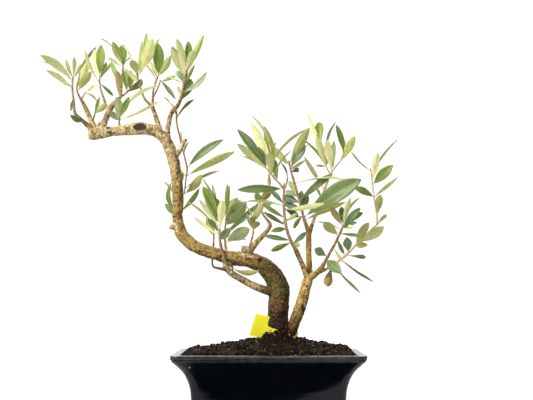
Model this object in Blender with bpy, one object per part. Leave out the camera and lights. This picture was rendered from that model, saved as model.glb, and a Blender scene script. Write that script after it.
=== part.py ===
"""Olive bonsai in a glazed rectangular pot: two trunks, leafy sprays, heaped soil and a plastic plant label.

All lengths here are millimetres; MM turns them into metres. X runs to the right, Y away from the viewer and Z up,
and the origin is on the table under the middle of the pot.

The wood and the leaves are laid out on a front view of the tree, drawn full size at the pot's middle plane. A
place is given as how far across and down the view it is seen, and a third number says how far it stands behind
the middle plane (negative: in front of it). What stands nearer to the eye is seen larger.
"""

import math
import random
from collections import namedtuple

import bmesh
import bpy
from mathutils import Matrix, Vector, noise

MM = 0.001
SEAT_GAP = 0.3                 # clearance between touching pieces
RANDOM_SEED = 7

# The front view: where the eye is, how far it looks up, and the middle of what it sees
EYE = (-2.0, -1156.0, 146.6)
EYE_PITCH = math.radians(4.485)
VIEW_DISTANCE = 1152.5
VIEW_ACROSS, VIEW_DOWN = 266.5, 200.0

# Pot
RIM_WIDTH, RIM_DEPTH = 186.0, 144.0
POT_HEIGHT = 84.0
LIP_HEIGHT = 6.5
RIM_FLAT = 8.5                 # width of the rim's flat top
FLARE_DEPTH = 19.0             # how far the waist stands in from the lip
# The wall's flare: how far below the lip, how far in from it.
FLARE = (
    (0.0, 1.2), (0.6, 3.8), (3.5, 6.3), (7.0, 8.9), (10.5, 11.3), (14.9, 13.5), (21.5, 16.0), (28.0, 17.9), (36.0, 18.8),
    (46.0, FLARE_DEPTH), (POT_HEIGHT, FLARE_DEPTH),
)
WALL = 6.0
FLOOR = 8.0
FOOT_RECESS = 3.0
FOOT_RIM = 12.0
FOOT_RIB = 24.0
CORNER_RADIUS = 9.0
DRAIN_RADIUS = 7.0
DRAIN_ACROSS = 38.0

# Soil
SOIL_BELOW_RIM = 2.0           # at the pot's wall
EDGE_HEAP = 5.5                # height of the heap just inside the pot's wall
HEAP = 19.0                    # height of the heap at the trunks
CRUMB = 1.1                    # height of the soil's relief

HOLE_EASE = 1.2                # how much wider than a trunk its hole in the soil is
HOLE_POINTS = 7                # how many of a trunk's rings its hole follows

# Plant label
PLATE = ((256.0, 313.6), (270.0, 316.6), (263.4, 338.6), (249.2, 335.2))    # the plate's corners
NECK = ((266.0, 325.4), (272.5, 328.2), (277.0, 329.6), (278.6, 330.9), (276.4, 332.2), (270.0, 332.6), (263.0, 331.0))
PLATE_DEPTH = -13.8
PLATE_THICK = 0.8
STRAP_HALF_WIDTH, STRAP_THICK = 1.3, 0.8
# The strap's line round both trunks: across, down, depth.
STRAP = (
    (268.0, 329.2, -13.8), (265.0, 329.3, -10.0), (263.9, 329.4, -3.5), (265.3, 329.5, 4.0), (270.0, 329.8, 10.6),
    (278.0, 330.2, 12.6), (287.0, 330.8, 10.6), (294.0, 331.8, 6.0), (298.0, 332.8, 0.4), (297.6, 333.6, -4.8),
    (294.4, 334.4, -9.8), (288.0, 334.0, -13.4), (281.0, 332.6, -14.4), (276.0, 331.2, -14.2), (270.5, 330.6, -13.8),
)

# Drain screens
SCREEN_SIDE, SCREEN_THICK = 26.0, 1.2
SCREEN_HOLES, SCREEN_HOLE = 3, 5.0

# Wood: how far apart the rings of a limb stand, and how many sides it has
TRUNK_STEP, BRANCH_STEP = 9.0, 9.0
TRUNK_SIDES, SECOND_SIDES, BRANCH_SIDES, TWIG_SIDES = 12, 10, 6, 4

# Leaves
BLADE_THICK = 0.95
STALK = 1.0                    # thickness of a leaf's stalk
BLADE_STATIONS = ((0.30, 0.80), (0.55, 1.0), (0.80, 0.72))   # share of the length, share of the full width
SMALL_STATIONS = ((0.36, 0.90), (0.74, 0.84))                # for leaves shorter than SMALL_LENGTH
SMALL_LENGTH = 25.0
EDGE_DROP = 0.3                # how far a blade's edges roll under its midrib

UPPER, UNDER, EDGE = "upper", "under", "edge"    # the side of a leaf that the front view shows

# A leaf's stalk grows at the root place and its tip is at (across, down, depth). The bend says how far the middle
# of the leaf is pushed to the right of a straight line, seen from its stalk.
Leaf = namedtuple("Leaf", "root_across root_down across down depth face width bend", defaults=(0.0,))
Spray = namedtuple("Spray", "name woody route twigs leaves")

# The main trunk: across, down, depth, radius.
MAIN_TRUNK = (
    (277.0, 370, 0, 8.5), (278.0, 352, 0, 11.4), (278.5, 336, 0, 10.8), (278.0, 320, 0, 10.0),
    (278.7, 303, 0, 10.2), (279.0, 291, 0, 10.6), (276.5, 282, 0, 9.8), (271.5, 273.5, -1, 9.1),
    (264.3, 266.5, -3, 8.5), (255.5, 261.8, -4, 7.7), (244.5, 259.0, -5, 7.1), (232.0, 258.5, -5, 6.5),
    (220.0, 255.0, -5, 6.1), (210.0, 252.3, -4, 5.9), (200.0, 248.8, -3, 5.7), (191.0, 243.8, -1, 5.8),
    (183.8, 236.8, 1, 5.8), (179.3, 228.0, 2, 5.5), (177.6, 217.0, 3, 5.0), (178.2, 203.0, 3, 5.2),
    (177.6, 190.0, 2, 5.4), (176.8, 178.0, 1, 5.5), (175.0, 167.0, 0, 5.2), (172.3, 155.0, -1, 5.6),
    (168.0, 144.5, -2, 5.4), (162.8, 136.8, -3, 5.2), (156.0, 131.6, -4, 5.2), (148.0, 129.2, -5, 5.6),
    (139.0, 128.5, -6, 5.8), (129.5, 129.3, -6, 5.6), (120.0, 130.8, -6, 4.6), (110.0, 131.8, -6, 4.8),
    (100.0, 133.0, -6, 5.7), (93.0, 133.8, -6, 5.8), (89.0, 134.2, -6, 5.2),
)
# The second trunk joins the first below the soil.
SECOND_TRUNK = (
    (281.0, 360, 0, 4.0), (288.0, 346, -1, 5.0), (291.3, 334, -2, 5.0), (294.5, 322, -3, 5.3),
    (298.6, 311, -3, 5.5), (302.2, 301, -3, 5.4), (305.0, 290, -2, 5.1), (307.6, 281, -1, 4.9),
    (309.0, 274.5, 0, 4.4),
)
# Sawn stubs and small knobs that carry no leaves.
STUBS = (
    ((174.5, 157, -1, 3.2), (179.8, 150.5, -2, 2.3), (183.2, 143.5, -3, 2.1), (185.4, 138.8, -3, 2.4)),
    ((178.0, 228.5, 1, 2.6), (173.5, 227.5, -1, 2.3), (169.8, 226.3, -2, 2.6)),
    ((96.0, 130.0, -6, 1.6), (98.2, 125.0, -8, 1.2), (99.3, 121.2, -9, 0.9)),
    ((171.8, 113.0, -5, 1.4), (169.2, 112.8, -6, 0.9)),
    ((247.0, 254.0, -6, 3.2), (243.5, 249.8, -7, 2.9), (241.8, 248.6, -7, 2.2)),
    ((302.0, 265.5, -4, 1.3), (298.8, 264.2, -6, 0.8)),
)
# Old pruning scars, healed in a ring: across, down, depth, and the radii of the hollow.
SCARS = (
    (140.0, 127.0, -11.4, 6.6, 1.9, 3.2), (260.5, 262.0, -12.0, 3.6, 1.6, 2.8), (248.0, 259.6, -12.2, 3.2, 1.3, 1.3),
    (128.5, 129.4, -11.7, 3.0, 1.1, 2.6),
)

SPRAYS = (
    Spray("spray_tip", 2, (
        (93.0, 131, -6, 3.0), (88.5, 126, -7, 2.5), (83.0, 121.3, -9, 2.1), (77.8, 116.8, -11, 1.8),
        (75.0, 113.2, -12, 1.5), (74.2, 107, -13, 1.2), (73.6, 100, -14, 1.1), (72.7, 93, -15, 1.0),
        (72.4, 85, -16, 0.9), (73.0, 77, -17, 0.8)), (), (
        Leaf(72.5, 80, 40.0, 55.0, -32, UNDER, 9.5), Leaf(72.5, 83, 42.0, 61.5, -6, UNDER, 7.0),
        Leaf(72.4, 90, 46.0, 70.0, -24, UNDER, 5.5), Leaf(72.4, 88, 62.0, 80.5, -2, UPPER, 4.0),
        Leaf(73.0, 78, 66.0, 59.5, -10, UPPER, 4.0), Leaf(73.0, 77, 74.0, 56.5, -26, UNDER, 4.5),
        Leaf(73.0, 79, 81.0, 64.0, -34, UNDER, 4.0), Leaf(73.5, 99, 70.8, 111.5, -24, UPPER, 3.5),
        Leaf(83.5, 121.7, 69.8, 114.8, -20, UPPER, 5.5, -2.0))),
    Spray("spray_tip_inner", 4, (
        (95.5, 131, -5, 3.3), (92.0, 122.5, -3, 2.7), (88.5, 114.5, -1, 2.3), (85.0, 107, 1, 2.0),
        (82.2, 101.5, 2, 1.6), (79.6, 97, 3, 1.2), (77.6, 93, 4, 1.0), (76.8, 88, 5, 0.8), (77.2, 82, 6, 0.7)), (
        ((80.8, 99.5, 2.5, 0.9), (83.5, 96, 5, 0.7), (85.0, 92.5, 7, 0.6)),), (
        Leaf(76.8, 88, 88.5, 60.0, 16, UNDER, 8.0), Leaf(77.0, 85, 83.5, 74.0, 20, UNDER, 4.0),
        Leaf(77.4, 92, 91.0, 71.5, -8, UNDER, 8.0), Leaf(77.2, 83, 97.0, 46.5, 40, EDGE, 4.0),
        Leaf(84.8, 93, 95.5, 84.0, 0, UNDER, 3.5), Leaf(84.8, 92.7, 97.0, 101.5, 14, EDGE, 4.0))),
    Spray("spray_fork_base", 3, (
        (91.5, 121, -3, 1.9), (93.0, 118.6, -7, 1.3), (93.8, 117, -9, 1.1), (94.6, 115, -11, 0.9),
        (95.4, 112, -12, 0.7)), (), (
        Leaf(94.6, 115, 99.8, 96.5, -20, UPPER, 3.5), Leaf(95.0, 114, 107.0, 103.5, -16, UNDER, 6.5),
        Leaf(95.3, 112.5, 99.0, 101.0, -8, UPPER, 3.0))),
    Spray("spray_crown_left", 4, (
        (109.8, 110.5, -3, 1.8), (107.8, 108.2, 0, 1.5), (106.2, 105, 3, 1.4), (105.0, 102, 5, 1.3),
        (102.8, 95.5, 8, 1.1), (100.8, 89.5, 10, 0.9), (99.6, 83, 12, 0.8), (99.8, 77, 13, 0.8)), (), (
        Leaf(99.8, 77, 101.0, 44.5, 4, UPPER, 9.5), Leaf(99.8, 79.5, 93.5, 49.5, 24, UNDER, 7.5, -1.0),
        Leaf(99.7, 79, 106.3, 62.0, 8, UPPER, 5.0, 1.5), Leaf(99.8, 77, 112.5, 61.5, 24, UNDER, 4.0),
        Leaf(99.6, 82.5, 84.8, 49.5, -10, UNDER, 6.0, -2.0), Leaf(99.6, 82, 113.5, 96.0, 24, UPPER, 3.5))),
    Spray("spray_crown_up", 6, (
        (101.0, 131, -6, 3.4), (104.0, 123, -5, 2.8), (107.0, 116, -4, 2.5), (110.0, 109.5, -3, 2.3),
        (112.6, 105, -4, 2.1), (115.4, 102.6, -6, 1.9), (118.4, 100.2, -8, 1.6), (120.6, 96.5, -9, 1.3),
        (121.2, 90, -10, 1.0), (122.0, 80, -11, 0.9), (122.7, 71, -12, 0.8), (123.2, 66, -12, 0.7)), (
        ((120.4, 97.2, -9, 1.1), (124.5, 94.5, -7, 1.0), (128.2, 91, -5, 0.9), (132.0, 86.5, -3, 0.8),
         (135.0, 83.5, -2, 0.7)),), (
        Leaf(123.2, 66.5, 112.5, 41.5, -22, UNDER, 7.5), Leaf(123.1, 67, 121.5, 45.0, -2, UPPER, 9.0),
        Leaf(123.0, 68, 107.5, 57.5, -20, UNDER, 3.5), Leaf(121.4, 87, 111.0, 61.5, 0, UPPER, 5.0),
        Leaf(119.6, 98.6, 117.0, 70.5, -20, UNDER, 8.0), Leaf(127.4, 91.8, 124.5, 70.5, 4, UPPER, 6.5),
        Leaf(129.5, 89.5, 130.5, 70.0, 6, UNDER, 8.0), Leaf(126.5, 92.7, 142.0, 79.0, 10, UPPER, 7.0, 2.5),
        Leaf(123.1, 67, 138.0, 81.5, -24, UNDER, 5.0), Leaf(123.2, 66, 131.5, 57.5, -2, EDGE, 3.0),
        Leaf(122.9, 69, 100.0, 38.5, 10, EDGE, 3.5, 2.0))),
    Spray("spray_on_bend", 3, (
        (120.0, 130, -5, 2.0), (119.5, 126.4, -6, 1.6), (119.3, 124.8, -6.5, 1.3), (119.2, 122.5, -7, 1.0),
        (119.4, 119.5, -8, 0.8), (119.8, 116.5, -9, 0.7)), (), (
        Leaf(119.3, 120.5, 116.8, 96.5, -16, UNDER, 9.5), Leaf(119.3, 121.5, 109.8, 111.5, -14, UNDER, 6.5),
        Leaf(119.7, 118, 129.5, 96.5, -20, UPPER, 6.5), Leaf(119.4, 120, 158.5, 101.5, -12, EDGE, 4.0, 3.0),
        Leaf(119.8, 117, 166.5, 85.5, -34, EDGE, 4.0, -4.5))),
    Spray("spray_crown_pale", 5, (
        (160.0, 133, -3, 3.4), (158.5, 126, -1, 2.7), (156.2, 118, 1, 2.3), (153.6, 110.8, 2, 2.0),
        (151.2, 106.2, 1, 1.6), (148.2, 102.8, -1, 1.3), (144.6, 98.8, -4, 1.2), (142.0, 92, -7, 1.0),
        (139.6, 85.5, -10, 1.0), (138.0, 79, -12, 0.9), (136.7, 72, -14, 0.8)), (), (
        Leaf(136.7, 72, 117.5, 38.0, -6, EDGE, 3.5), Leaf(137.2, 75.5, 152.5, 38.5, -30, UNDER, 12.0),
        Leaf(136.8, 73, 146.5, 32.0, -10, UPPER, 7.5), Leaf(137.0, 74.5, 131.5, 60.0, -28, UNDER, 8.0),
        Leaf(136.8, 73, 142.0, 40.5, 4, UNDER, 4.5), Leaf(137.5, 77, 159.5, 37.5, -14, UNDER, 3.5))),
    Spray("spray_crown_dark", 3, (
        (155.0, 114, 2, 2.0), (153.4, 108.6, 6, 1.6), (152.9, 105, 8, 1.5), (152.7, 99, 10, 1.2),
        (153.0, 93, 12, 1.0), (154.0, 87, 14, 0.9), (156.4, 80.5, 15, 0.9), (158.2, 76, 16, 0.8)), (
        ((152.8, 98, 10.3, 1.0), (155.6, 92.5, 9, 0.9), (158.5, 86.5, 8, 0.8), (160.5, 80, 8, 0.7)),), (
        Leaf(158.0, 76.5, 158.0, 43.0, 8, UPPER, 11.5), Leaf(157.6, 77.5, 150.0, 61.0, 26, UNDER, 4.0),
        Leaf(158.2, 76, 171.0, 55.0, 28, UNDER, 8.0), Leaf(156.8, 79.5, 144.5, 64.5, 22, EDGE, 3.0),
        Leaf(160.4, 80.5, 175.5, 99.5, 2, UPPER, 4.5), Leaf(160.4, 81, 176.0, 75.5, 14, UNDER, 3.5))),
    Spray("spray_crown_right", 6, (
        (167.5, 138, -2, 3.6), (167.3, 131, -2, 2.6), (168.6, 124, -3, 2.4), (170.0, 117, -4, 2.2),
        (172.2, 111.8, -5, 1.9), (175.0, 108.6, -6, 1.7), (178.2, 104.8, -7, 1.4), (181.0, 98, -8, 1.2),
        (183.2, 90, -9, 1.1), (184.6, 82, -10, 1.0), (185.8, 75.5, -11, 0.9), (187.2, 68, -12, 0.8)), (), (
        Leaf(185.2, 78.5, 171.5, 46.0, -20, UNDER, 9.5), Leaf(185.3, 78, 178.5, 52.5, -34, UNDER, 7.0),
        Leaf(187.0, 69, 176.5, 38.5, -16, UNDER, 7.0), Leaf(187.1, 68.5, 188.5, 41.0, 2, UPPER, 7.5),
        Leaf(186.4, 72, 193.5, 50.0, -28, UNDER, 8.0), Leaf(186.0, 74.5, 204.0, 34.5, -8, UNDER, 6.0),
        Leaf(184.2, 84.5, 176.6, 70.5, 4, UPPER, 7.0), Leaf(183.9, 86, 195.0, 64.0, 6, UNDER, 4.0),
        Leaf(180.4, 99.5, 190.5, 79.0, 4, UPPER, 8.0), Leaf(182.6, 92.5, 207.0, 72.0, -16, UPPER, 6.5, 4.5),
        Leaf(184.3, 84, 166.0, 77.5, -4, EDGE, 3.0), Leaf(181.2, 97.5, 177.8, 86.0, -16, UNDER, 4.0))),
    Spray("spray_hanging", 3, (
        (173.2, 110.6, -5.5, 1.5), (175.8, 111.6, -2, 1.2), (176.8, 114, 0, 1.0), (176.4, 119, 2, 0.9),
        (177.4, 127, 4, 0.9), (179.6, 136, 5, 0.9), (181.6, 145, 6, 0.8), (184.4, 156, 7, 0.8),
        (187.0, 168, 8, 0.8), (186.4, 176, 9, 0.7), (185.4, 184, 10, 0.7), (184.8, 190, 11, 0.6)), (), (
        Leaf(186.9, 168.5, 223.5, 139.5, -2, UPPER, 8.5), Leaf(186.4, 176, 235.0, 151.5, 4, UNDER, 8.0),
        Leaf(176.4, 119, 194.5, 99.5, 14, EDGE, 4.0), Leaf(176.5, 118, 163.5, 97.0, 16, EDGE, 4.0),
        Leaf(186.2, 177, 178.0, 169.0, 34, EDGE, 5.0), Leaf(184.9, 189, 201.5, 174.5, 4, UNDER, 8.5, 1.5),
        Leaf(185.0, 188, 219.5, 171.0, 20, EDGE, 4.0), Leaf(181.6, 145, 180.4, 130.0, 12, UNDER, 3.0),
        Leaf(184.0, 154, 189.0, 142.0, 12, EDGE, 2.5))),
    Spray("spray_behind", 3, (
        (178.5, 224, 2, 2.2), (179.0, 223, 8, 1.7), (179.0, 222, 10.5, 1.4), (179.0, 218.5, 13, 1.1),
        (178.6, 211, 15, 1.0), (178.2, 203, 16, 0.9), (178.0, 195, 17, 0.8), (178.0, 189, 18, 0.7)), (), (
        Leaf(178.9, 217, 164.8, 203.5, 12, UPPER, 6.5), Leaf(178.7, 213, 171.5, 182.5, 10, UPPER, 5.0, -6.5),
        Leaf(178.2, 203, 163.5, 181.5, 24, EDGE, 4.0), Leaf(178.7, 214, 199.5, 188.0, 24, UPPER, 5.5, 3.5),
        Leaf(178.0, 190, 183.0, 172.0, 30, UPPER, 5.0))),
    Spray("spray_low_pale", 9, (
        (279.0, 294, -2, 4.8), (268.0, 291, -4, 4.1), (255.0, 286.3, -8, 3.5), (243.0, 280, -11, 3.3),
        (233.0, 274.5, -13, 3.1), (227.3, 269.3, -14.5, 2.8), (224.8, 262, -14, 2.4), (222.8, 254, -12.6, 2.0),
        (221.0, 247, -12, 1.6), (219.8, 240, -12, 1.2), (219.5, 234, -13, 1.0), (219.8, 228, -14, 0.9),
        (220.0, 221, -15, 0.8)), (), (
        Leaf(219.6, 232, 222.5, 200.0, -32, UNDER, 6.5), Leaf(219.7, 229, 199.0, 199.5, -30, UNDER, 5.0),
        Leaf(220.0, 222, 203.0, 186.5, -14, UPPER, 8.0), Leaf(219.9, 225, 204.5, 198.0, -6, UPPER, 4.0),
        Leaf(220.0, 222, 212.5, 184.0, -5, UPPER, 4.0), Leaf(219.9, 223, 219.5, 198.5, -8, UPPER, 5.0),
        Leaf(219.6, 233, 207.8, 218.5, -20, UNDER, 5.0), Leaf(219.6, 236, 193.5, 217.0, -16, UNDER, 3.5),
        Leaf(219.6, 235, 186.0, 201.5, -6, EDGE, 4.0), Leaf(219.6, 236, 230.0, 226.5, -22, UPPER, 6.0),
        Leaf(219.9, 224, 201.5, 177.5, -24, EDGE, 3.0))),
    Spray("spray_low_left", 7, (
        (226.5, 270, -15, 1.8), (219.5, 268.4, -14.5, 1.3), (213.8, 267.0, -11.5, 1.1), (212.3, 263.0, -5, 1.0),
        (212.4, 257.0, 3, 1.0), (213.0, 250.5, 5.5, 1.0), (213.4, 245, 5, 1.0), (213.6, 240, 4, 0.9),
        (213.8, 235, 3, 0.8), (214.0, 229, 2, 0.7)), (), (
        Leaf(213.7, 236, 206.5, 218.0, 6, UNDER, 7.0), Leaf(213.9, 231, 216.0, 212.0, 8, UPPER, 5.0))),
    Spray("spray_low_broad", 3, (
        (227.0, 256, -4, 2.0), (226.2, 250.5, -2, 1.6), (225.7, 247.5, -1, 1.4), (225.1, 243, 0, 1.1),
        (224.8, 237, 1, 1.0), (225.0, 230, 2, 0.9), (225.5, 223, 2, 0.8), (226.0, 217, 2, 0.7)), (), (
        Leaf(224.9, 239.5, 249.5, 228.0, -6, UNDER, 9.0), Leaf(224.9, 234, 258.5, 203.5, 0, UPPER, 5.5),
        Leaf(225.4, 225, 246.5, 201.5, 10, UNDER, 12.5), Leaf(225.7, 221, 236.5, 196.5, 20, UNDER, 9.5),
        Leaf(226.0, 218, 227.3, 184.0, -4, UNDER, 5.0), Leaf(226.0, 218, 229.8, 185.0, 12, UPPER, 4.0),
        Leaf(226.0, 219, 241.5, 199.5, 27, UPPER, 6.0), Leaf(225.0, 243, 246.5, 239.5, 12, EDGE, 4.0),
        Leaf(224.8, 238.5, 248.0, 219.5, 14, EDGE, 3.5))),
    Spray("spray_low_fork", 3, (
        (232.5, 274.5, -14, 2.0), (232.2, 271.2, -17, 1.3), (232.2, 269.8, -18, 1.1), (232.4, 268, -19, 0.9),
        (232.8, 266, -19.5, 0.7)), (), (
        Leaf(232.4, 268, 228.5, 261.5, -24, UPPER, 3.5), Leaf(232.5, 267.5, 260.0, 270.5, -18, UNDER, 5.5, 4.5))),
    Spray("spray_mid", 3, (
        (249.0, 252, -4, 2.0), (250.0, 246.8, -7, 1.5), (250.6, 244, -8, 1.2), (251.8, 239, -9, 1.0),
        (253.0, 234, -10, 0.9), (253.4, 228, -11, 0.8), (253.2, 222, -12, 0.7)), (), (
        Leaf(253.2, 231, 258.5, 221.5, -22, UNDER, 6.0), Leaf(253.3, 229, 252.0, 216.5, -24, UNDER, 5.0),
        Leaf(253.2, 231, 246.5, 213.5, -6, UPPER, 4.0), Leaf(253.2, 223, 263.5, 202.5, -16, UNDER, 7.0),
        Leaf(253.2, 223, 257.8, 202.5, -6, UPPER, 4.5), Leaf(253.2, 222.5, 246.5, 206.5, -22, EDGE, 3.0))),
    Spray("spray_mid_top", 7, (
        (246.5, 257, -4, 3.8), (250.5, 250, -2, 3.4), (256.0, 243, 1, 2.8), (262.5, 236, 4, 2.4),
        (268.0, 229.7, 6, 2.1), (270.2, 225.0, 7, 1.9), (268.4, 221.2, 8, 1.6), (264.8, 217, 9, 1.2),
        (262.0, 212, 10, 1.0), (260.2, 206, 11, 0.9), (259.6, 200, 12, 0.8)), (), (
        Leaf(259.9, 203, 256.5, 191.5, 6, UPPER, 7.0), Leaf(259.8, 202, 272.0, 191.0, 18, UNDER, 8.0),
        Leaf(260.4, 207, 272.5, 202.0, 20, UNDER, 7.0))),
    Spray("stem_left", 4, (
        (308.5, 278, 0, 3.8), (303.8, 268, -3, 2.7), (300.0, 259.5, -6, 2.3), (297.0, 252.5, -8, 2.3),
        (294.2, 247.2, -10, 2.0), (290.6, 240.5, -12, 1.7), (287.6, 232, -15, 1.6), (285.6, 223.5, -18, 1.5),
        (284.2, 212, -20, 1.4), (283.6, 200, -22, 1.3), (284.0, 190, -24, 1.2), (284.2, 183, -25, 0.8)), (
        ((284.0, 189, -24, 1.1), (279.0, 183, -28, 1.0), (274.5, 178.5, -30, 0.9), (270.5, 173.5, -31, 0.9),
         (266.5, 168.5, -31, 0.8)),
        ((284.0, 190, -24, 1.0), (286.4, 184, -20, 0.9), (287.6, 178, -17, 0.8))), (
        Leaf(267.0, 169, 237.0, 129.0, -36, UPPER, 9.0), Leaf(267.0, 169.5, 237.0, 143.5, -44, UNDER, 7.5),
        Leaf(268.0, 170.5, 238.0, 154.5, -26, EDGE, 4.0), Leaf(267.2, 169, 258.3, 147.0, -24, UPPER, 5.5),
        Leaf(272.0, 175.5, 269.2, 153.5, -48, UNDER, 8.5), Leaf(270.0, 173, 250.5, 122.0, -28, UNDER, 8.5, 2.5),
        Leaf(271.5, 175, 263.5, 125.0, -20, UNDER, 9.0, 4.0), Leaf(269.0, 172, 269.5, 186.5, -40, UNDER, 3.5),
        Leaf(278.0, 182, 274.5, 159.0, -16, UPPER, 6.0), Leaf(287.5, 178.5, 281.0, 163.0, -28, EDGE, 3.0),
        Leaf(276.0, 180, 276.3, 141.5, -8, EDGE, 4.0), Leaf(272.8, 176.5, 291.5, 150.5, -42, EDGE, 3.0),
        Leaf(269.5, 172.5, 250.5, 114.5, -10, EDGE, 3.5, 3.0), Leaf(268.0, 170.3, 309.0, 128.5, -38, EDGE, 4.5, -3.5),
        Leaf(283.9, 189, 237.0, 190.0, -38, UPPER, 8.5), Leaf(283.8, 205, 245.0, 201.5, -32, EDGE, 4.0),
        Leaf(283.6, 203, 270.5, 189.5, -14, UPPER, 5.0), Leaf(284.9, 218, 262.0, 203.5, -26, UPPER, 4.5),
        Leaf(285.8, 225, 263.5, 212.0, -12, UPPER, 4.5), Leaf(286.8, 229, 271.0, 231.5, -24, UPPER, 5.5),
        Leaf(291.0, 241, 263.5, 235.5, -18, UPPER, 5.0), Leaf(291.4, 242, 271.0, 251.0, -24, UNDER, 5.5),
        Leaf(284.0, 209, 325.0, 203.5, -44, UNDER, 5.5), Leaf(285.4, 222, 297.0, 213.5, -28, UNDER, 4.0),
        Leaf(283.9, 207, 298.5, 216.5, -8, UPPER, 6.0), Leaf(292.6, 244.3, 300.0, 245.5, -18, UNDER, 5.0),
        Leaf(292.4, 244, 306.5, 232.0, -6, UPPER, 5.5))),
    Spray("stem_centre", 6, (
        (309.0, 278, 0, 4.0), (309.2, 267, 3, 3.1), (308.6, 255, 6, 2.7), (308.6, 243, 8, 2.8),
        (308.6, 234, 8, 2.4), (306.4, 226, 6, 1.9), (303.8, 218, 4, 1.6), (300.5, 205, 2, 1.4),
        (297.2, 193, 0, 1.3), (293.6, 180, -2, 1.2), (290.8, 170, -3, 1.1), (288.8, 160.5, -3, 0.8)), (), (
        Leaf(289.5, 164, 309.5, 127.5, -10, UNDER, 9.0), Leaf(290.6, 168.5, 304.5, 143.0, 4, UPPER, 8.5),
        Leaf(290.0, 166.5, 268.8, 144.5, 6, UNDER, 7.5), Leaf(291.2, 171.5, 308.0, 145.0, 18, EDGE, 3.5),
        Leaf(290.8, 170, 306.0, 160.0, 18, UNDER, 3.5), Leaf(291.5, 172.5, 299.0, 169.5, 12, UPPER, 5.0),
        Leaf(298.0, 195.5, 289.0, 181.0, -10, UNDER, 5.5), Leaf(298.6, 198, 285.0, 191.0, 12, UPPER, 6.0),
        Leaf(302.6, 213, 307.5, 194.0, 8, UPPER, 7.5), Leaf(299.5, 201.5, 333.0, 173.5, -8, UPPER, 8.0),
        Leaf(303.6, 217.5, 361.5, 179.5, -30, UPPER, 16.0), Leaf(304.0, 220.5, 346.0, 202.0, -3, UNDER, 6.0),
        Leaf(301.5, 209, 283.5, 203.0, 16, UPPER, 6.5), Leaf(294.6, 184, 351.0, 181.0, -16, EDGE, 5.0, -2.5),
        Leaf(303.4, 216.5, 281.5, 224.5, 14, EDGE, 3.5), Leaf(303.0, 214.5, 293.5, 228.5, -8, UNDER, 4.5))),
    Spray("stem_right", 2, (
        (308.8, 236, 9, 2.4), (311.2, 227.5, 12, 2.0), (313.6, 220.5, 14, 1.7), (316.5, 213, 16, 1.6),
        (319.0, 206.5, 17, 1.5), (322.0, 197, 17, 1.4), (325.0, 188, 16, 1.3), (328.0, 180.5, 14, 1.2),
        (331.0, 173, 11, 1.0), (336.0, 166, 7, 0.9), (341.0, 160, 4, 0.8), (344.0, 153, 2, 0.7)), (
        ((330.4, 174.5, 11.5, 0.9), (327.6, 169.5, 12, 0.8), (325.6, 165, 13, 0.7)),), (
        Leaf(325.8, 165.5, 317.0, 136.5, 0, UNDER, 7.5), Leaf(325.7, 165.3, 307.0, 112.5, 20, UNDER, 5.0),
        Leaf(325.7, 165.3, 319.3, 121.5, 28, UPPER, 9.0), Leaf(332.5, 171, 327.0, 139.5, -10, UNDER, 8.5),
        Leaf(332.6, 170.8, 334.2, 140.5, 20, UPPER, 5.5), Leaf(326.0, 166, 330.0, 150.0, 19, UPPER, 4.5),
        Leaf(327.0, 168.5, 336.5, 121.0, 32, EDGE, 4.0), Leaf(344.0, 153.5, 336.0, 124.5, -8, UPPER, 6.5),
        Leaf(343.8, 154, 344.0, 139.0, 12, UPPER, 4.0), Leaf(338.0, 163.5, 355.0, 136.0, -12, UNDER, 8.0),
        Leaf(326.3, 167, 315.5, 165.5, 20, UNDER, 2.5), Leaf(324.5, 189.5, 304.0, 156.5, 2, UNDER, 4.5),
        Leaf(325.9, 165.8, 302.5, 139.5, 12, EDGE, 4.0), Leaf(321.8, 198, 317.0, 188.5, 8, UNDER, 3.0))),
    Spray("stem_fork", 4, (
        (308.5, 279, -1, 3.6), (314.0, 275, -3, 2.9), (318.6, 270.8, -6, 2.5), (322.3, 266.3, -9, 2.1),
        (326.0, 260, -12, 1.6), (330.0, 252.5, -15, 1.5), (334.0, 245.5, -18, 1.4), (338.0, 237.5, -20, 1.3),
        (341.5, 230, -22, 1.2), (343.2, 224.5, -23, 0.9)), (), (
        Leaf(343.0, 225.5, 330.5, 206.5, -28, UNDER, 6.5), Leaf(343.1, 225, 341.5, 206.5, -12, UPPER, 6.5),
        Leaf(343.1, 225, 350.5, 197.5, -32, UNDER, 5.5), Leaf(343.0, 225.5, 360.2, 197.5, -10, EDGE, 3.5),
        Leaf(342.9, 226, 360.5, 207.5, -32, UPPER, 7.5), Leaf(342.8, 226.3, 363.0, 212.5, -18, UPPER, 6.5),
        Leaf(342.6, 227, 357.5, 222.5, -38, UPPER, 5.0), Leaf(342.5, 227.2, 352.5, 227.0, -44, UNDER, 4.5),
        Leaf(338.8, 236, 323.5, 222.5, -30, UNDER, 9.0), Leaf(341.5, 230, 316.5, 221.5, -16, EDGE, 3.5),
        Leaf(339.8, 234, 362.0, 236.0, -14, UNDER, 3.5), Leaf(333.2, 247, 343.5, 262.5, -30, UNDER, 3.0),
        Leaf(337.4, 239, 344.5, 254.5, -10, UNDER, 4.0), Leaf(327.6, 257, 314.5, 248.5, -28, UPPER, 8.5),
        Leaf(326.4, 259.3, 341.5, 273.5, -36, UPPER, 11.0))),
    Spray("stem_far", 2, (
        (317.0, 272.2, -5, 2.4), (322.5, 270.5, -3, 2.0), (327.0, 268.4, -1, 1.8), (332.0, 265.2, 1, 1.6),
        (338.0, 261.2, 3, 1.5), (344.0, 256.6, 5, 1.5), (350.0, 250.8, 7, 1.4), (357.0, 243.8, 9, 1.3),
        (365.0, 236, 12, 1.3), (372.0, 229.3, 15, 1.2), (378.5, 222.8, 17, 1.1)), (
        ((376.8, 224.6, 16.5, 1.1), (377.0, 217, 19, 1.0), (375.5, 207, 21, 0.9), (373.6, 195, 23, 0.9),
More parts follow.
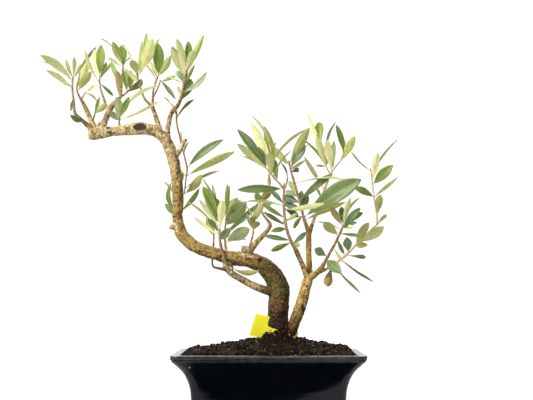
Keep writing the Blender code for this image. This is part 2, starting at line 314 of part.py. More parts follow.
         (372.3, 183, 25, 0.8), (371.3, 173, 26, 0.7), (370.3, 168, 26, 0.6)),), (
        Leaf(331.5, 265.6, 327.0, 286.5, -12, UNDER, 9.0), Leaf(333.5, 264.3, 361.0, 293.5, -16, EDGE, 4.0, 2.5),
        Leaf(340.5, 259.4, 373.5, 282.0, 12, EDGE, 4.0, 2.0), Leaf(346.0, 255, 366.0, 257.2, 18, UPPER, 4.5),
        Leaf(348.5, 252.4, 347.0, 237.0, -4, UPPER, 9.0), Leaf(355.5, 245.3, 368.8, 222.5, -4, UNDER, 9.0),
        Leaf(358.0, 243, 384.0, 226.5, -4, UNDER, 10.0, 2.0), Leaf(356.0, 245, 368.0, 245.0, 24, UNDER, 6.5),
        Leaf(376.8, 216, 380.3, 194.5, 8, UNDER, 8.0), Leaf(377.8, 223.5, 387.0, 214.5, 6, UNDER, 4.0),
        Leaf(373.9, 197, 398.0, 177.0, 36, UNDER, 4.0), Leaf(374.0, 198, 353.0, 187.0, 10, UPPER, 7.5),
        Leaf(372.4, 184, 393.0, 165.0, 12, UPPER, 10.5), Leaf(372.1, 181, 378.0, 152.5, 6, UNDER, 7.0),
        Leaf(371.7, 177, 398.3, 139.0, 42, EDGE, 3.5, 1.5), Leaf(370.6, 170, 350.5, 151.0, 38, EDGE, 3.5, -1.5))),
)


def clear_scene():
    for obj in list(bpy.data.objects):
        bpy.data.objects.remove(obj)


def material(name, colour, roughness, metallic=0.0):
    made = bpy.data.materials.new(name)
    made.use_nodes = True
    shader = made.node_tree.nodes["Principled BSDF"]
    shader.inputs["Base Color"].default_value = (*colour, 1.0)
    shader.inputs["Roughness"].default_value = roughness
    shader.inputs["Metallic"].default_value = metallic
    return made


def place(across, down, depth):
    """A place of the front view as a point of the object, in metres."""
    right, above = across - VIEW_ACROSS, VIEW_DOWN - down
    forward = VIEW_DISTANCE * math.cos(EYE_PITCH) - above * math.sin(EYE_PITCH)
    upward = VIEW_DISTANCE * math.sin(EYE_PITCH) + above * math.cos(EYE_PITCH)
    reach = (depth - EYE[1]) / forward
    return Vector((EYE[0] + right * reach, depth, EYE[2] + upward * reach)) * MM


def object_of(bm, name, collection):
    mesh = bpy.data.meshes.new(name)
    bm.normal_update()
    bm.to_mesh(mesh)
    bm.free()
    obj = bpy.data.objects.new(name, mesh)
    collection.objects.link(obj)
    return obj


def smooth_route(points, spacing):
    """Points read about every spacing millimetres from a smooth curve through the route's own points."""
    ends = [points[0], *points, points[-1]]
    read = []
    for before, start, end, after in zip(ends, ends[1:], ends[2:], ends[3:]):
        p0, p1, p2, p3 = (Vector(p) for p in (before, start, end, after))
        steps = max(1, round((p2 - p1).length / spacing))
        for i in range(steps):
            t = i / steps
            read.append(0.5 * (2 * p1 + (p2 - p0) * t + (2 * p0 - 5 * p1 + 4 * p2 - p3) * t * t
                               + (3 * p1 - p0 - 3 * p2 + p3) * t ** 3))
    read.append(Vector(points[-1]))
    return read


def closed_mesh(curve, name, collection):
    """The curve's surface as a mesh object, with its end caps welded on."""
    guide = bpy.data.objects.new(name + "_line", curve)
    bpy.context.scene.collection.objects.link(guide)
    evaluated = guide.evaluated_get(bpy.context.evaluated_depsgraph_get())
    mesh = bpy.data.meshes.new_from_object(evaluated)
    bm = bmesh.new()
    bm.from_mesh(mesh)
    bmesh.ops.remove_doubles(bm, verts=bm.verts, dist=0.01 * MM)
    bmesh.ops.recalc_face_normals(bm, faces=bm.faces)
    bpy.data.objects.remove(guide)
    bpy.data.meshes.remove(mesh)
    return object_of(bm, name, collection)


def tube(name, route, sides, collection):
    """A closed mesh tube along (across, down, depth, radius) points."""
    curve = bpy.data.curves.new(name, "CURVE")
    curve.dimensions = "3D"
    curve.bevel_depth = MM
    curve.bevel_resolution = (sides - 4) // 2
    curve.use_fill_caps = True
    spline = curve.splines.new("POLY")
    spline.points.add(len(route) - 1)
    for point, (across, down, depth, radius) in zip(spline.points, route):
        point.co = (*place(across, down, depth), 1.0)
        point.radius = radius
    return closed_mesh(curve, name, collection)


def roughen(obj, height, grain):
    """Swells and hollows a limb's surface, as old bark does, leaving its sawn ends flat."""
    mesh = obj.data
    bm = bmesh.new()
    bm.from_mesh(mesh)
    bm.normal_update()
    moved = {v: v.normal * noise.noise(v.co / (grain * MM)) * height * MM for v in bm.verts
             if max(len(f.verts) for f in v.link_faces) == 4}
    for vertex, step in moved.items():
        vertex.co += step
    bm.to_mesh(mesh)
    bm.free()


def join(base, collection, name, group):
    """One body of the base and everything in the collection."""
    union = base.modifiers.new("union", "BOOLEAN")
    union.operation = "UNION"
    union.operand_type = "COLLECTION"
    union.collection = collection
    evaluated = base.evaluated_get(bpy.context.evaluated_depsgraph_get())
    mesh = bpy.data.meshes.new_from_object(evaluated)
    for obj in [base, *collection.objects]:
        bpy.data.objects.remove(obj)
    bpy.data.collections.remove(collection)
    joined = bpy.data.objects.new(name, mesh)
    group.objects.link(joined)
    return joined


def points_along(route):
    """The route's own points and four more along each of its straight pieces."""
    return [a.lerp(b, share / 5) for a, b in zip(route, route[1:]) for share in range(5)] + [route[-1]]


def nearest(points, across, down):
    """The centre of the stem nearest to a place of the view."""
    return min(points, key=lambda p: (p[0] - across) ** 2 + (p[1] - down) ** 2)


def blade(leaf, stems, luck, collection):
    """One leaf: a thin arched blade, keeled along its midrib, whose stalk starts inside the stem."""
    stem = nearest(stems, leaf.root_across, leaf.root_down)
    root = Vector(place(*stem[:3]))
    tip = place(leaf.across, leaf.down, leaf.depth)
    along = (tip - root).normalized()
    length = (tip - root).length
    facing = {UPPER: Vector((0, -1, 0.1)), UNDER: Vector((0, 1, 0.1)),
              EDGE: Vector((-along.z, 0, along.x)) * (1 if along.x > 0 else -1)}[leaf.face]
    up = (facing - along * facing.dot(along)).normalized()
    up.rotate(Matrix.Rotation(math.radians(luck.uniform(-16, 16)), 3, along))
    side = along.cross(up)
    bow = length * luck.uniform(0.04, 0.09)
    sideways = Vector((along.z, 0, -along.x)).normalized() * leaf.bend * MM
    bm = bmesh.new()

    def ring(share, half_width, half_thick, drop):
        middle = root + along * length * share + (up * bow + sideways) * 4 * share * (1 - share)
        return [bm.verts.new(middle + side * half_width - up * drop), bm.verts.new(middle + up * half_thick),
                bm.verts.new(middle - side * half_width - up * drop), bm.verts.new(middle - up * half_thick)]

    rings = [ring(0.0, STALK / 2 * MM, STALK / 2 * MM, 0.0)]
    for share, fullness in BLADE_STATIONS if length > SMALL_LENGTH * MM else SMALL_STATIONS:
        rings.append(ring(share, leaf.width / 2 * fullness * MM, BLADE_THICK / 2 * MM, EDGE_DROP * MM))
    for near, far in zip(rings, rings[1:]):
        for i in range(4):
            bm.faces.new((near[i], near[i - 1], far[i - 1], far[i]))
    end = bm.verts.new(tip)
    for i in range(4):
        bm.faces.new((rings[-1][i], rings[-1][i - 1], end))
    bm.faces.new(rings[0])
    bmesh.ops.recalc_face_normals(bm, faces=bm.faces)
    bmesh.ops.triangulate(bm, faces=bm.faces)
    return object_of(bm, "blade", collection)


def split(spray):
    """The route's woody points and leafy points, parted by the seat's gap in the middle of a straight piece."""
    points = smooth_route(spray.route, BRANCH_STEP)
    seat = Vector(spray.route[spray.woody - 1])
    at = points.index(min(points[1:-1], key=lambda p: (p - seat).length))
    near, far = points[at], points[at + 1]
    middle = (near + far) / 2
    half_gap = (far - near) * (SEAT_GAP / 2 / Vector((far - near)[:3]).length)
    return points[:at + 1] + [middle - half_gap], [middle + half_gap] + points[at + 1:]


def make_spray(spray, leafy, luck, group, finish):
    """A leafy shoot or stem: the twigs and all their leaves as one body."""
    parts = bpy.data.collections.new(spray.name + "_parts")
    bpy.context.scene.collection.children.link(parts)
    base = tube(spray.name + "_stem", leafy, BRANCH_SIDES, bpy.context.scene.collection)
    stems = points_along(leafy)
    for twig in spray.twigs:
        route = smooth_route(twig, BRANCH_STEP)
        tube(spray.name + "_twig", route, TWIG_SIDES, parts)
        stems += points_along(route)
    for leaf in spray.leaves:
        blade(leaf, stems, luck, parts)
    node = join(base, parts, spray.name, group)
    node.data.materials.clear()
    node.data.materials.append(finish)
    return node


def ball(across, down, depth, radii, collection):
    """A knot or the shape of a hollow: a ball with its own radius along X, Y and Z."""
    bm = bmesh.new()
    bmesh.ops.create_icosphere(bm, subdivisions=1, radius=MM, matrix=Matrix.Diagonal((*radii, 1.0)))
    bmesh.ops.translate(bm, verts=bm.verts, vec=place(across, down, depth))
    return object_of(bm, "ball", collection)


def make_wood(wood_routes, group, finish):
    """Both trunks, their branches and stubs: one grown piece, with old scars hollowed into the bark."""
    parts = bpy.data.collections.new("wood_parts")
    bpy.context.scene.collection.children.link(parts)
    trunk = tube("main_trunk", smooth_route(MAIN_TRUNK, TRUNK_STEP), TRUNK_SIDES, bpy.context.scene.collection)
    roughen(trunk, 1.0, 8.0)
    second = tube("second_trunk", smooth_route(SECOND_TRUNK, TRUNK_STEP), SECOND_SIDES, parts)
    roughen(second, 0.6, 6.0)
    for route in wood_routes:
        tube("branch", route, BRANCH_SIDES, parts)
    for stub in STUBS:
        tube("stub", smooth_route(stub, BRANCH_STEP), BRANCH_SIDES, parts)
    wood = join(trunk, parts, "olive_wood", group)
    cutters = bpy.data.collections.new("cutters")
    bpy.context.scene.collection.children.link(cutters)
    for across, down, depth, wide, deep, high in SCARS:
        hollow = ball(across, down, depth, (wide, deep, high), cutters)
        hollow.hide_render = True
        hollow.display_type = "WIRE"
    carve = wood.modifiers.new("scars", "BOOLEAN")
    carve.operation = "DIFFERENCE"
    carve.operand_type = "COLLECTION"
    carve.collection = cutters
    wood.data.materials.clear()
    wood.data.materials.append(finish)
    return wood


def outline(half_x, half_y, radius, corner_steps=4):
    """A rectangle with round corners, as points in order round it."""
    points = []
    for quarter, (sx, sy) in enumerate(((1, 1), (-1, 1), (-1, -1), (1, -1))):
        for i in range(corner_steps + 1):
            angle = math.radians(90) * (quarter + i / corner_steps)
            points.append((sx * (half_x - radius) + radius * math.cos(angle),
                           sy * (half_y - radius) + radius * math.sin(angle)))
    return points


def raise_sections(bm, sections):
    """A solid lofted through outlines of the same count of points, each (points, height), closed by a face at both ends."""
    rings = [[bm.verts.new(Vector((x, y, z)) * MM) for x, y in points] for points, z in sections]
    for low, high in zip(rings, rings[1:]):
        for i in range(len(low)):
            bm.faces.new((low[i - 1], low[i], high[i], high[i - 1]))
    bm.faces.new(list(reversed(rings[0])))
    bm.faces.new(rings[-1])


def pot_section(inset, z, radius=CORNER_RADIUS):
    return outline(RIM_WIDTH / 2 - inset, RIM_DEPTH / 2 - inset, max(radius, 2.0)), z


def flare(below_lip):
    """How far the wall stands in from the lip, that many millimetres below it."""
    for (low, inset), (high, further) in zip(FLARE, FLARE[1:]):
        if below_lip <= high:
            return inset + (further - inset) * (below_lip - low) / (high - low)
    return FLARE_DEPTH


def inner_sections(gap):
    """The pot's inside, from the floor up to the rim, moved inwards by gap."""
    lip = POT_HEIGHT - LIP_HEIGHT
    heights = (FLOOR + gap, 24.0, 40.0, 54.0, 64.0, 71.0, lip)
    found = [pot_section(max(flare(lip - z) + WALL, RIM_FLAT) + gap, z, CORNER_RADIUS - 3) for z in heights]
    found.append(pot_section(RIM_FLAT + gap, POT_HEIGHT, CORNER_RADIUS - 3))
    return found


def make_pot(group, finish):
    """A glazed stoneware pot: flared walls under a plain lip, a recessed foot with a middle rib, two drain holes."""
    lip = POT_HEIGHT - LIP_HEIGHT
    outside = [pot_section(FLARE_DEPTH + 0.8, 0.0), pot_section(FLARE_DEPTH, 0.8)]
    outside += [pot_section(flare(below), lip - below) for below in (46, 36, 28, 21.5, 14.9, 10.5, 7, 3.5, 0.6)]
    outside += [pot_section(0.7, lip + 0.2), pot_section(0.0, lip + 1.4), pot_section(0.0, POT_HEIGHT - 1.5),
                pot_section(0.5, POT_HEIGHT - 0.4), pot_section(1.5, POT_HEIGHT)]
    inside = list(reversed(inner_sections(0.0)))
    bm = bmesh.new()
    raise_sections(bm, outside + inside)
    bmesh.ops.recalc_face_normals(bm, faces=bm.faces)
    pot = object_of(bm, "pot", group)
    pot.data.materials.append(finish)

    cutters = bpy.data.collections.new("pot_cutters")
    bpy.context.scene.collection.children.link(cutters)
    half_x = RIM_WIDTH / 2 - FLARE_DEPTH - FOOT_RIM
    half_y = RIM_DEPTH / 2 - FLARE_DEPTH - FOOT_RIM
    for side in (-1, 1):
        bm = bmesh.new()
        width = half_x - FOOT_RIB / 2
        recess = outline(width / 2, half_y, 5.0, 2)
        raise_sections(bm, ((recess, -1.0), (recess, FOOT_RECESS)))
        bmesh.ops.translate(bm, verts=bm.verts, vec=(side * (FOOT_RIB / 2 + width / 2) * MM, 0, 0))
        bmesh.ops.create_cone(bm, cap_ends=True, segments=16, radius1=DRAIN_RADIUS * MM, radius2=DRAIN_RADIUS * MM,
                              depth=30 * MM, matrix=Matrix.Translation((side * DRAIN_ACROSS * MM, 0, 5 * MM)))
        bmesh.ops.recalc_face_normals(bm, faces=bm.faces)
        cutter = object_of(bm, "foot_cutter", cutters)
        cutter.hide_render = True
        cutter.display_type = "WIRE"
        cut = pot.modifiers.new("foot", "BOOLEAN")
        cut.operation = "DIFFERENCE"
        cut.object = cutter
        cut.use_self = True
    return pot


def heap_height(x, y):
    """The soil's level over its edge: a crumbly heap that rises to the trunks."""
    reach = min(1.0, math.hypot(x / (RIM_WIDTH / 2 - RIM_FLAT), y / (RIM_DEPTH / 2 - RIM_FLAT)))
    heap = EDGE_HEAP + (HEAP - EDGE_HEAP) * (1 - reach ** 1.25)
    crumbs = CRUMB * noise.noise(Vector((x, y, 3.0)) / 5.0) + 0.7 * CRUMB * noise.noise(Vector((x, y, 9.0)) / 2.6)
    return (heap + crumbs) * min(1.0, 12 * (1 - reach))


def make_soil(group, finish):
    """Dark potting soil that fills the pot and is heaped to the trunks, with plain holes where they stand."""
    sections = inner_sections(SEAT_GAP)[:-1]
    edge_z = POT_HEIGHT - SOIL_BELOW_RIM
    bm = bmesh.new()
    rings = [[bm.verts.new(Vector((x, y, z)) * MM) for x, y in points] for points, z in sections]
    edge = outline(RIM_WIDTH / 2 - RIM_FLAT - SEAT_GAP, RIM_DEPTH / 2 - RIM_FLAT - SEAT_GAP, CORNER_RADIUS - 3)
    for share in (1.0, 0.94, 0.87, 0.78, 0.68, 0.57, 0.46, 0.35, 0.24, 0.12):
        rings.append([bm.verts.new(Vector((x * share, y * share,
                                           edge_z + (heap_height(x * share, y * share) if share < 1 else 0))) * MM)
                      for x, y in edge])
    for low, high in zip(rings, rings[1:]):
        for i in range(len(low)):
            bm.faces.new((low[i - 1], low[i], high[i], high[i - 1]))
    bm.faces.new(list(reversed(rings[0])))
    top = bm.verts.new(Vector((0, 0, edge_z + HEAP)) * MM)
    for i in range(len(edge)):
        bm.faces.new((rings[-1][i - 1], rings[-1][i], top))
    bmesh.ops.recalc_face_normals(bm, faces=bm.faces)
    soil = object_of(bm, "soil", group)
    soil.data.materials.append(finish)

    cutters = bpy.data.collections.new("soil_cutters")
    bpy.context.scene.collection.children.link(cutters)
    for side in (-1, 1):
        wide = (SCREEN_SIDE + 2 * SEAT_GAP) * MM
        bm = bmesh.new()
        bmesh.ops.create_cube(bm, size=1.0, matrix=Matrix.Translation((side * DRAIN_ACROSS * MM, 0, FLOOR * MM))
                              @ Matrix.Diagonal((wide, wide, 2 * (SCREEN_THICK + 2 * SEAT_GAP) * MM, 1)))
        object_of(bm, "screen_print", cutters)
    for trunk, sides in ((MAIN_TRUNK, TRUNK_SIDES), (SECOND_TRUNK, SECOND_SIDES)):
        buried = [point + Vector((0, 0, 0, HOLE_EASE)) for point in smooth_route(trunk, TRUNK_STEP)[:HOLE_POINTS]]
        downwards = (buried[0] - buried[1]).normalized()
        buried[0] = buried[0] + downwards * 2 * SEAT_GAP
        tube("trunk_hole", buried, sides, cutters)
    for cutter in cutters.objects:
        cutter.hide_render = True
        cutter.display_type = "WIRE"
    cut = soil.modifiers.new("holes", "BOOLEAN")
    cut.operation = "DIFFERENCE"
    cut.operand_type = "COLLECTION"
    cut.collection = cutters
    return soil


def upright_sheet(name, corners, thick, collection):
    """A flat sheet that faces the viewer, with its corners given as places of the view."""
    curve = bpy.data.curves.new(name, "CURVE")
    curve.dimensions = "2D"
    curve.fill_mode = "BOTH"
    curve.extrude = thick / 2 * MM
    spline = curve.splines.new("POLY")
    spline.use_cyclic_u = True
    spline.points.add(len(corners) - 1)
    for point, (across, down) in zip(spline.points, corners):
        spot = place(across, down, PLATE_DEPTH)
        point.co = (spot.x, spot.z, 0, 1.0)
    sheet = closed_mesh(curve, name, collection)
    upright = Matrix.Translation((0, PLATE_DEPTH * MM, 0)) @ Matrix.Rotation(math.radians(90), 4, "X")
    sheet.data.transform(upright)
    return sheet


def make_label(group, finish):
    """A bare loop-lock plant label: a plate with a pointed neck, and a thin strap round both trunks."""
    parts = bpy.data.collections.new("label_parts")
    bpy.context.scene.collection.children.link(parts)

    plate = upright_sheet("plate", PLATE, PLATE_THICK, bpy.context.scene.collection)
    upright_sheet("neck", NECK, PLATE_THICK + 0.2, parts)
    line = [place(*point) for point in STRAP]
    bm = bmesh.new()
    rings = []
    for i, point in enumerate(line):
        along = line[min(i + 1, len(line) - 1)] - line[max(i - 1, 0)]
        across = Vector((along.y, -along.x, 0)).normalized() * STRAP_THICK / 2 * MM
        high = Vector((0, 0, STRAP_HALF_WIDTH * MM))
        rings.append([bm.verts.new(point + across + high), bm.verts.new(point - across + high),
                      bm.verts.new(point - across - high), bm.verts.new(point + across - high)])
    for near, far in zip(rings, rings[1:]):
        for i in range(4):
            bm.faces.new((near[i], near[i - 1], far[i - 1], far[i]))
    bm.faces.new(rings[0])
    bm.faces.new(list(reversed(rings[-1])))
    bmesh.ops.recalc_face_normals(bm, faces=bm.faces)
    object_of(bm, "strap", parts)
    label = join(plate, parts, "plant_label", group)
    label.data.materials.clear()
    label.data.materials.append(finish)
    return label


def make_screen(side, group, finish):
    """A square of plastic mesh that keeps the soil over a drain hole."""
    pitch = SCREEN_SIDE / (SCREEN_HOLES + 0.5)
    bm = bmesh.new()
    bmesh.ops.create_cube(bm, size=1.0, matrix=Matrix.Diagonal((SCREEN_SIDE * MM, SCREEN_SIDE * MM, SCREEN_THICK * MM, 1)))
    screen = object_of(bm, "drain_screen_" + ("left" if side < 0 else "right"), group)
    screen.location = (side * DRAIN_ACROSS * MM, 0, (FLOOR + SEAT_GAP + SCREEN_THICK / 2) * MM)
    bm = bmesh.new()
    for i in range(SCREEN_HOLES):
        for j in range(SCREEN_HOLES):
            at = ((i - (SCREEN_HOLES - 1) / 2) * pitch * MM, (j - (SCREEN_HOLES - 1) / 2) * pitch * MM, 0)
            bmesh.ops.create_cube(bm, size=1.0, matrix=Matrix.Translation(at)
                                  @ Matrix.Diagonal((SCREEN_HOLE * MM, SCREEN_HOLE * MM, 4 * MM, 1)))
    holes = object_of(bm, "screen_cutter", bpy.context.scene.collection)
    holes.location = screen.location
    holes.hide_render = True
    holes.display_type = "WIRE"
    cut = screen.modifiers.new("mesh", "BOOLEAN")
    cut.operation = "DIFFERENCE"
    cut.object = holes
    screen.data.materials.append(finish)
    return screen


def main():
    clear_scene()
    luck = random.Random(RANDOM_SEED)
    group = bpy.data.collections.new("olive_bonsai")
    bpy.context.scene.collection.children.link(group)
    bark = material("bark", (0.32, 0.24, 0.15), 0.85)
    foliage = material("foliage", (0.33, 0.40, 0.18), 0.5)
    glaze = material("glaze", (0.012, 0.014, 0.022), 0.12)
    earth = material("earth", (0.035, 0.025, 0.018), 0.95)
    label_plastic = material("label_plastic", (1.0, 0.85, 0.01), 0.4)
    mesh_plastic = material("mesh_plastic", (0.02, 0.02, 0.02), 0.6)

    wood_routes = []
    leafy_routes = {}
    for spray in SPRAYS:
        wood, leafy = split(spray)
        wood_routes.append(wood)
        leafy_routes[spray.name] = leafy
    make_wood(wood_routes, group, bark)
    for spray in SPRAYS:
        make_spray(spray, leafy_routes[spray.name], luck, group, foliage)
    make_pot(group, glaze)
    make_soil(group, earth)
    make_label(group, label_plastic)
    for side in (-1, 1):
        make_screen(side, group, mesh_plastic)


main()
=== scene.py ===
"""The looks of an olive bonsai: two trunks with leafy shoots, soil, a glazed pot and a bare plant label.

Lengths are millimetres and MM turns them into metres. X runs to the right, Y away from the viewer and Z up,
with the origin on the table under the middle of the pot.
"""

import math
import random
from collections import namedtuple

import bmesh
import bpy
import numpy as np
from mathutils import Matrix, Vector, noise
from mathutils.kdtree import KDTree


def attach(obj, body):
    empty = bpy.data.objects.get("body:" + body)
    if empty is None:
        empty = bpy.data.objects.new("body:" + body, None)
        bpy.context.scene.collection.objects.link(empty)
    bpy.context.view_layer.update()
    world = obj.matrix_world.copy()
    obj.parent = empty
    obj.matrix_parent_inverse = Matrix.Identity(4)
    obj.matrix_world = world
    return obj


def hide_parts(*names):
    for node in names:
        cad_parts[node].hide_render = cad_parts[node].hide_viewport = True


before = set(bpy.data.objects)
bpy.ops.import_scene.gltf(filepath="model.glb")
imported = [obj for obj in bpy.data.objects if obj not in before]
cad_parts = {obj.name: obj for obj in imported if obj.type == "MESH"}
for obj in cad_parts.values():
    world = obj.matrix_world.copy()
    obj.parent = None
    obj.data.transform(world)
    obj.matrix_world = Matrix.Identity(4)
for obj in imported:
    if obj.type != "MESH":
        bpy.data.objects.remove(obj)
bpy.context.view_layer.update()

# The view. The camera stands about 1.2 m in front of the tree, a little above the pot's rim, and looks up a
# little. The wood and the leaves are laid out on this view, full size at the pot's middle plane: a place is
# how far across and down the view it is seen, and how far it stands behind the middle plane.
MM = 0.001
EYE = (-2.0, -1156.0, 146.6)
EYE_PITCH = math.radians(4.485)
VIEW_DISTANCE = 1152.5
VIEW_ACROSS, VIEW_DOWN = 266.5, 200.0
SENSOR = 36.0


def new_object(name, data):
    made = bpy.data.objects.new(name, data)
    bpy.context.scene.collection.objects.link(made)
    return made


camera = new_object("camera", bpy.data.cameras.new("camera"))
camera.location = Vector(EYE) * MM
camera.rotation_euler = (math.radians(90) + EYE_PITCH, 0, 0)
camera.data.sensor_width = SENSOR
camera.data.lens = SENSOR * VIEW_DISTANCE / (2 * VIEW_ACROSS)
bpy.context.scene.camera = camera


def place(across, down, depth):
    """A place of the view as a point of the object, in metres."""
    right, above = across - VIEW_ACROSS, VIEW_DOWN - down
    forward = VIEW_DISTANCE * math.cos(EYE_PITCH) - above * math.sin(EYE_PITCH)
    upward = VIEW_DISTANCE * math.sin(EYE_PITCH) + above * math.cos(EYE_PITCH)
    reach = (depth - EYE[1]) / forward
    return Vector((EYE[0] + right * reach, depth, EYE[2] + upward * reach)) * MM


# The studio: a pale floor, a bright backdrop behind the tree and a darker room behind the camera, which
# keeps the glaze deep. Soft lights stand at the left and in front, and one washes the floor behind white. For
# glossy rays only the floor glows with a painted reflection: dark in front of the pot and pale beside it.
FLOOR_SIZE = 2.6
PALE_FLOOR = (0.5, 0.5, 0.5, 1.0)
# Painted reflection: what the floor glows with for glossy rays, pale and dark, and the outline of the dark
# part.
PAINTED_PALE_REFLECTION, PAINTED_DARK_REFLECTION = (0.62, 0.66, 0.66, 1.0), (0.02, 0.03, 0.035, 1.0)
DARK_REFLECTION_LEFT, DARK_REFLECTION_RIGHT, DARK_REFLECTION_FAR = -0.084, 0.04, -0.62
DARK_REFLECTION_CORNER, DARK_REFLECTION_SLANT = 0.13, 0.39
DARK_REFLECTION_WAVES, DARK_REFLECTION_WAVE, DARK_REFLECTION_BLUR, DARK_REFLECTION_FADE = 16.0, 0.06, 0.01, 0.05
DARK_REFLECTION_END = (-0.06, 0.0)               # where it ends at the pot
BACKDROP_LIGHT, ROOM_LIGHT, RIGHT_LIGHT = 1.0, 0.12, 0.35
WHITE, SEEN_WHITE = (1.0, 1.0, 1.0, 1.0), 1.1
# The lamps: where each stands, what it aims at, its side in metres, its power and its tint.
LAMPS = {
    "key": ((-1.25, -0.85, 1.35), (0.0, 0.0, 0.2), 0.8, 38.0, (1.0, 0.98, 0.94)),
    "front": ((0.3, -1.9, 0.9), (0.0, 0.0, 0.2), 1.0, 10.0, WHITE[:3]),
    "sweep": ((0.0, 2.2, 2.0), (0.0, 1.7, 0.0), 2.4, 150.0, WHITE[:3]),
}

bpy.context.scene.view_settings.view_transform = "Standard"


def feed(tree, socket, value):
    """Gives a socket a value: a number, a colour or another node's output."""
    if isinstance(value, bpy.types.NodeSocket):
        tree.links.new(value, socket)
    else:
        socket.default_value = value


def fill(tree, node, inputs):
    """Gives a node's inputs their values, by the inputs' names or numbers."""
    for name, value in inputs.items():
        feed(tree, node.inputs[name], value)
    return node


def node_of(tree, kind, inputs=None, **settings):
    node = tree.nodes.new(kind)
    for name, value in settings.items():
        setattr(node, name, value)
    return fill(tree, node, inputs or {})


def calc(tree, operation, *values, clamp=False):
    """The result of a Math node."""
    inputs = dict(enumerate(values))
    return node_of(tree, "ShaderNodeMath", inputs, operation=operation, use_clamp=clamp).outputs[0]


def plus(tree, first, second):
    return calc(tree, "ADD", first, second)


def minus(tree, first, second, clamp=False):
    return calc(tree, "SUBTRACT", first, second, clamp=clamp)


def times(tree, first, second):
    return calc(tree, "MULTIPLY", first, second)


def blend(tree, share, first, second, kind="MIX"):
    """The first colour, with that share of the second mixed in."""
    inputs = {"Factor": share, 6: first, 7: second}
    return node_of(tree, "ShaderNodeMix", inputs, data_type="RGBA", blend_type=kind).outputs[2]


def from_to(tree, value, low, high, to_low=0.0, to_high=1.0):
    """Stretches low..high of a value to another range, with soft ends."""
    inputs = {"Value": value, "From Min": low, "From Max": high, "To Min": to_low, "To Max": to_high}
    return node_of(tree, "ShaderNodeMapRange", inputs, interpolation_type="SMOOTHSTEP").outputs["Result"]


def position(tree, kind="Object"):
    """The X, Y and Z of where a point is on its object, or of a direction in the world."""
    coordinates = node_of(tree, "ShaderNodeTexCoord").outputs[kind]
    return node_of(tree, "ShaderNodeSeparateXYZ", {0: coordinates}).outputs


def show_to(tree, rays, usual, special, output):
    """Lets rays of one kind see a special shader in place of the usual one."""
    share = node_of(tree, "ShaderNodeLightPath").outputs[rays]
    either = node_of(tree, "ShaderNodeMixShader", {0: share, 1: usual.outputs[0], 2: special.outputs[0]})
    fill(tree, output, {"Surface": either.outputs[0]})


def new_material(name):
    made = bpy.data.materials.new(name)
    made.use_nodes = True
    return made, made.node_tree, made.node_tree.nodes["Principled BSDF"]


def object_of(bm, name, smooth=True):
    mesh = bpy.data.meshes.new(name)
    for face in bm.faces:
        face.smooth = smooth
    bm.normal_update()
    bm.to_mesh(mesh)
    bm.free()
    return new_object(name, mesh)


def painted_glaze_reflection(tree, shader):
    """Paints a reflection that glossy rays see: the floor glows dark in front of the pot, its right side cut
    aslant, and pale beside it.
    """
    where = position(tree)
    wavy = node_of(tree, "ShaderNodeTexNoise", {"Scale": DARK_REFLECTION_WAVES}).outputs["Fac"]
    across = plus(tree, where["X"], times(tree, minus(tree, wavy, 0.5), DARK_REFLECTION_WAVE))
    slanted = minus(tree, across, times(tree, where["Y"], DARK_REFLECTION_SLANT))
    on_left = from_to(tree, across, DARK_REFLECTION_LEFT - DARK_REFLECTION_BLUR, DARK_REFLECTION_LEFT + DARK_REFLECTION_BLUR, 1.0, 0.0)
    on_right = times(tree, from_to(tree, across, DARK_REFLECTION_RIGHT - DARK_REFLECTION_BLUR, DARK_REFLECTION_RIGHT + DARK_REFLECTION_BLUR),
                     from_to(tree, slanted, DARK_REFLECTION_CORNER - DARK_REFLECTION_BLUR, DARK_REFLECTION_CORNER + DARK_REFLECTION_BLUR))
    far = from_to(tree, where["Y"], DARK_REFLECTION_FAR - DARK_REFLECTION_FADE, DARK_REFLECTION_FAR + DARK_REFLECTION_FADE, 1.0, 0.0)
    behind = from_to(tree, where["Y"], *DARK_REFLECTION_END)
    sides, ends = calc(tree, "MAXIMUM", on_left, on_right), calc(tree, "MAXIMUM", far, behind)
    tone = blend(tree, calc(tree, "MAXIMUM", sides, ends), PAINTED_DARK_REFLECTION, PAINTED_PALE_REFLECTION)
    seen = node_of(tree, "ShaderNodeEmission", {"Color": tone})
    show_to(tree, "Is Glossy Ray", shader, seen, tree.nodes["Material Output"])


def stage_floor():
    bm = bmesh.new()
    bmesh.ops.create_grid(bm, x_segments=1, y_segments=1, size=FLOOR_SIZE)
    floor = object_of(bm, "floor", smooth=False)
    pale, tree, shader = new_material("pale_floor")
    fill(tree, shader, {"Base Color": PALE_FLOOR, "Roughness": 0.9})
    painted_glaze_reflection(tree, shader)
    floor.data.materials.append(pale)


def studio_world():
    """White where the camera looks at it; as a light it is brightest behind the tree and on the left."""
    world = bpy.data.worlds.new("studio")
    bpy.context.scene.world = world
    world.use_nodes = True
    tree = world.node_tree
    tree.nodes.clear()
    direction = position(tree, "Generated")
    light = times(tree, from_to(tree, direction["Y"], -0.5, 0.5, ROOM_LIGHT, BACKDROP_LIGHT),
                  from_to(tree, direction["X"], -0.3, 0.9, 1.0, RIGHT_LIGHT))
    soft = node_of(tree, "ShaderNodeBackground", {"Color": WHITE, "Strength": light})
    white = node_of(tree, "ShaderNodeBackground", {"Color": WHITE, "Strength": SEEN_WHITE})
    show_to(tree, "Is Camera Ray", soft, white, node_of(tree, "ShaderNodeOutputWorld"))


def soft_light(name, at, aim, size, power, tint):
    lamp = bpy.data.lights.new(name, "AREA")
    lamp.size, lamp.energy, lamp.color = size, power, tint
    light = new_object(name, lamp)
    light.location = at
    light.rotation_euler = (Vector(aim) - Vector(at)).to_track_quat("-Z", "Y").to_euler()


stage_floor()
studio_world()
for lamp_name, facts in LAMPS.items():
    soft_light(lamp_name, *facts)

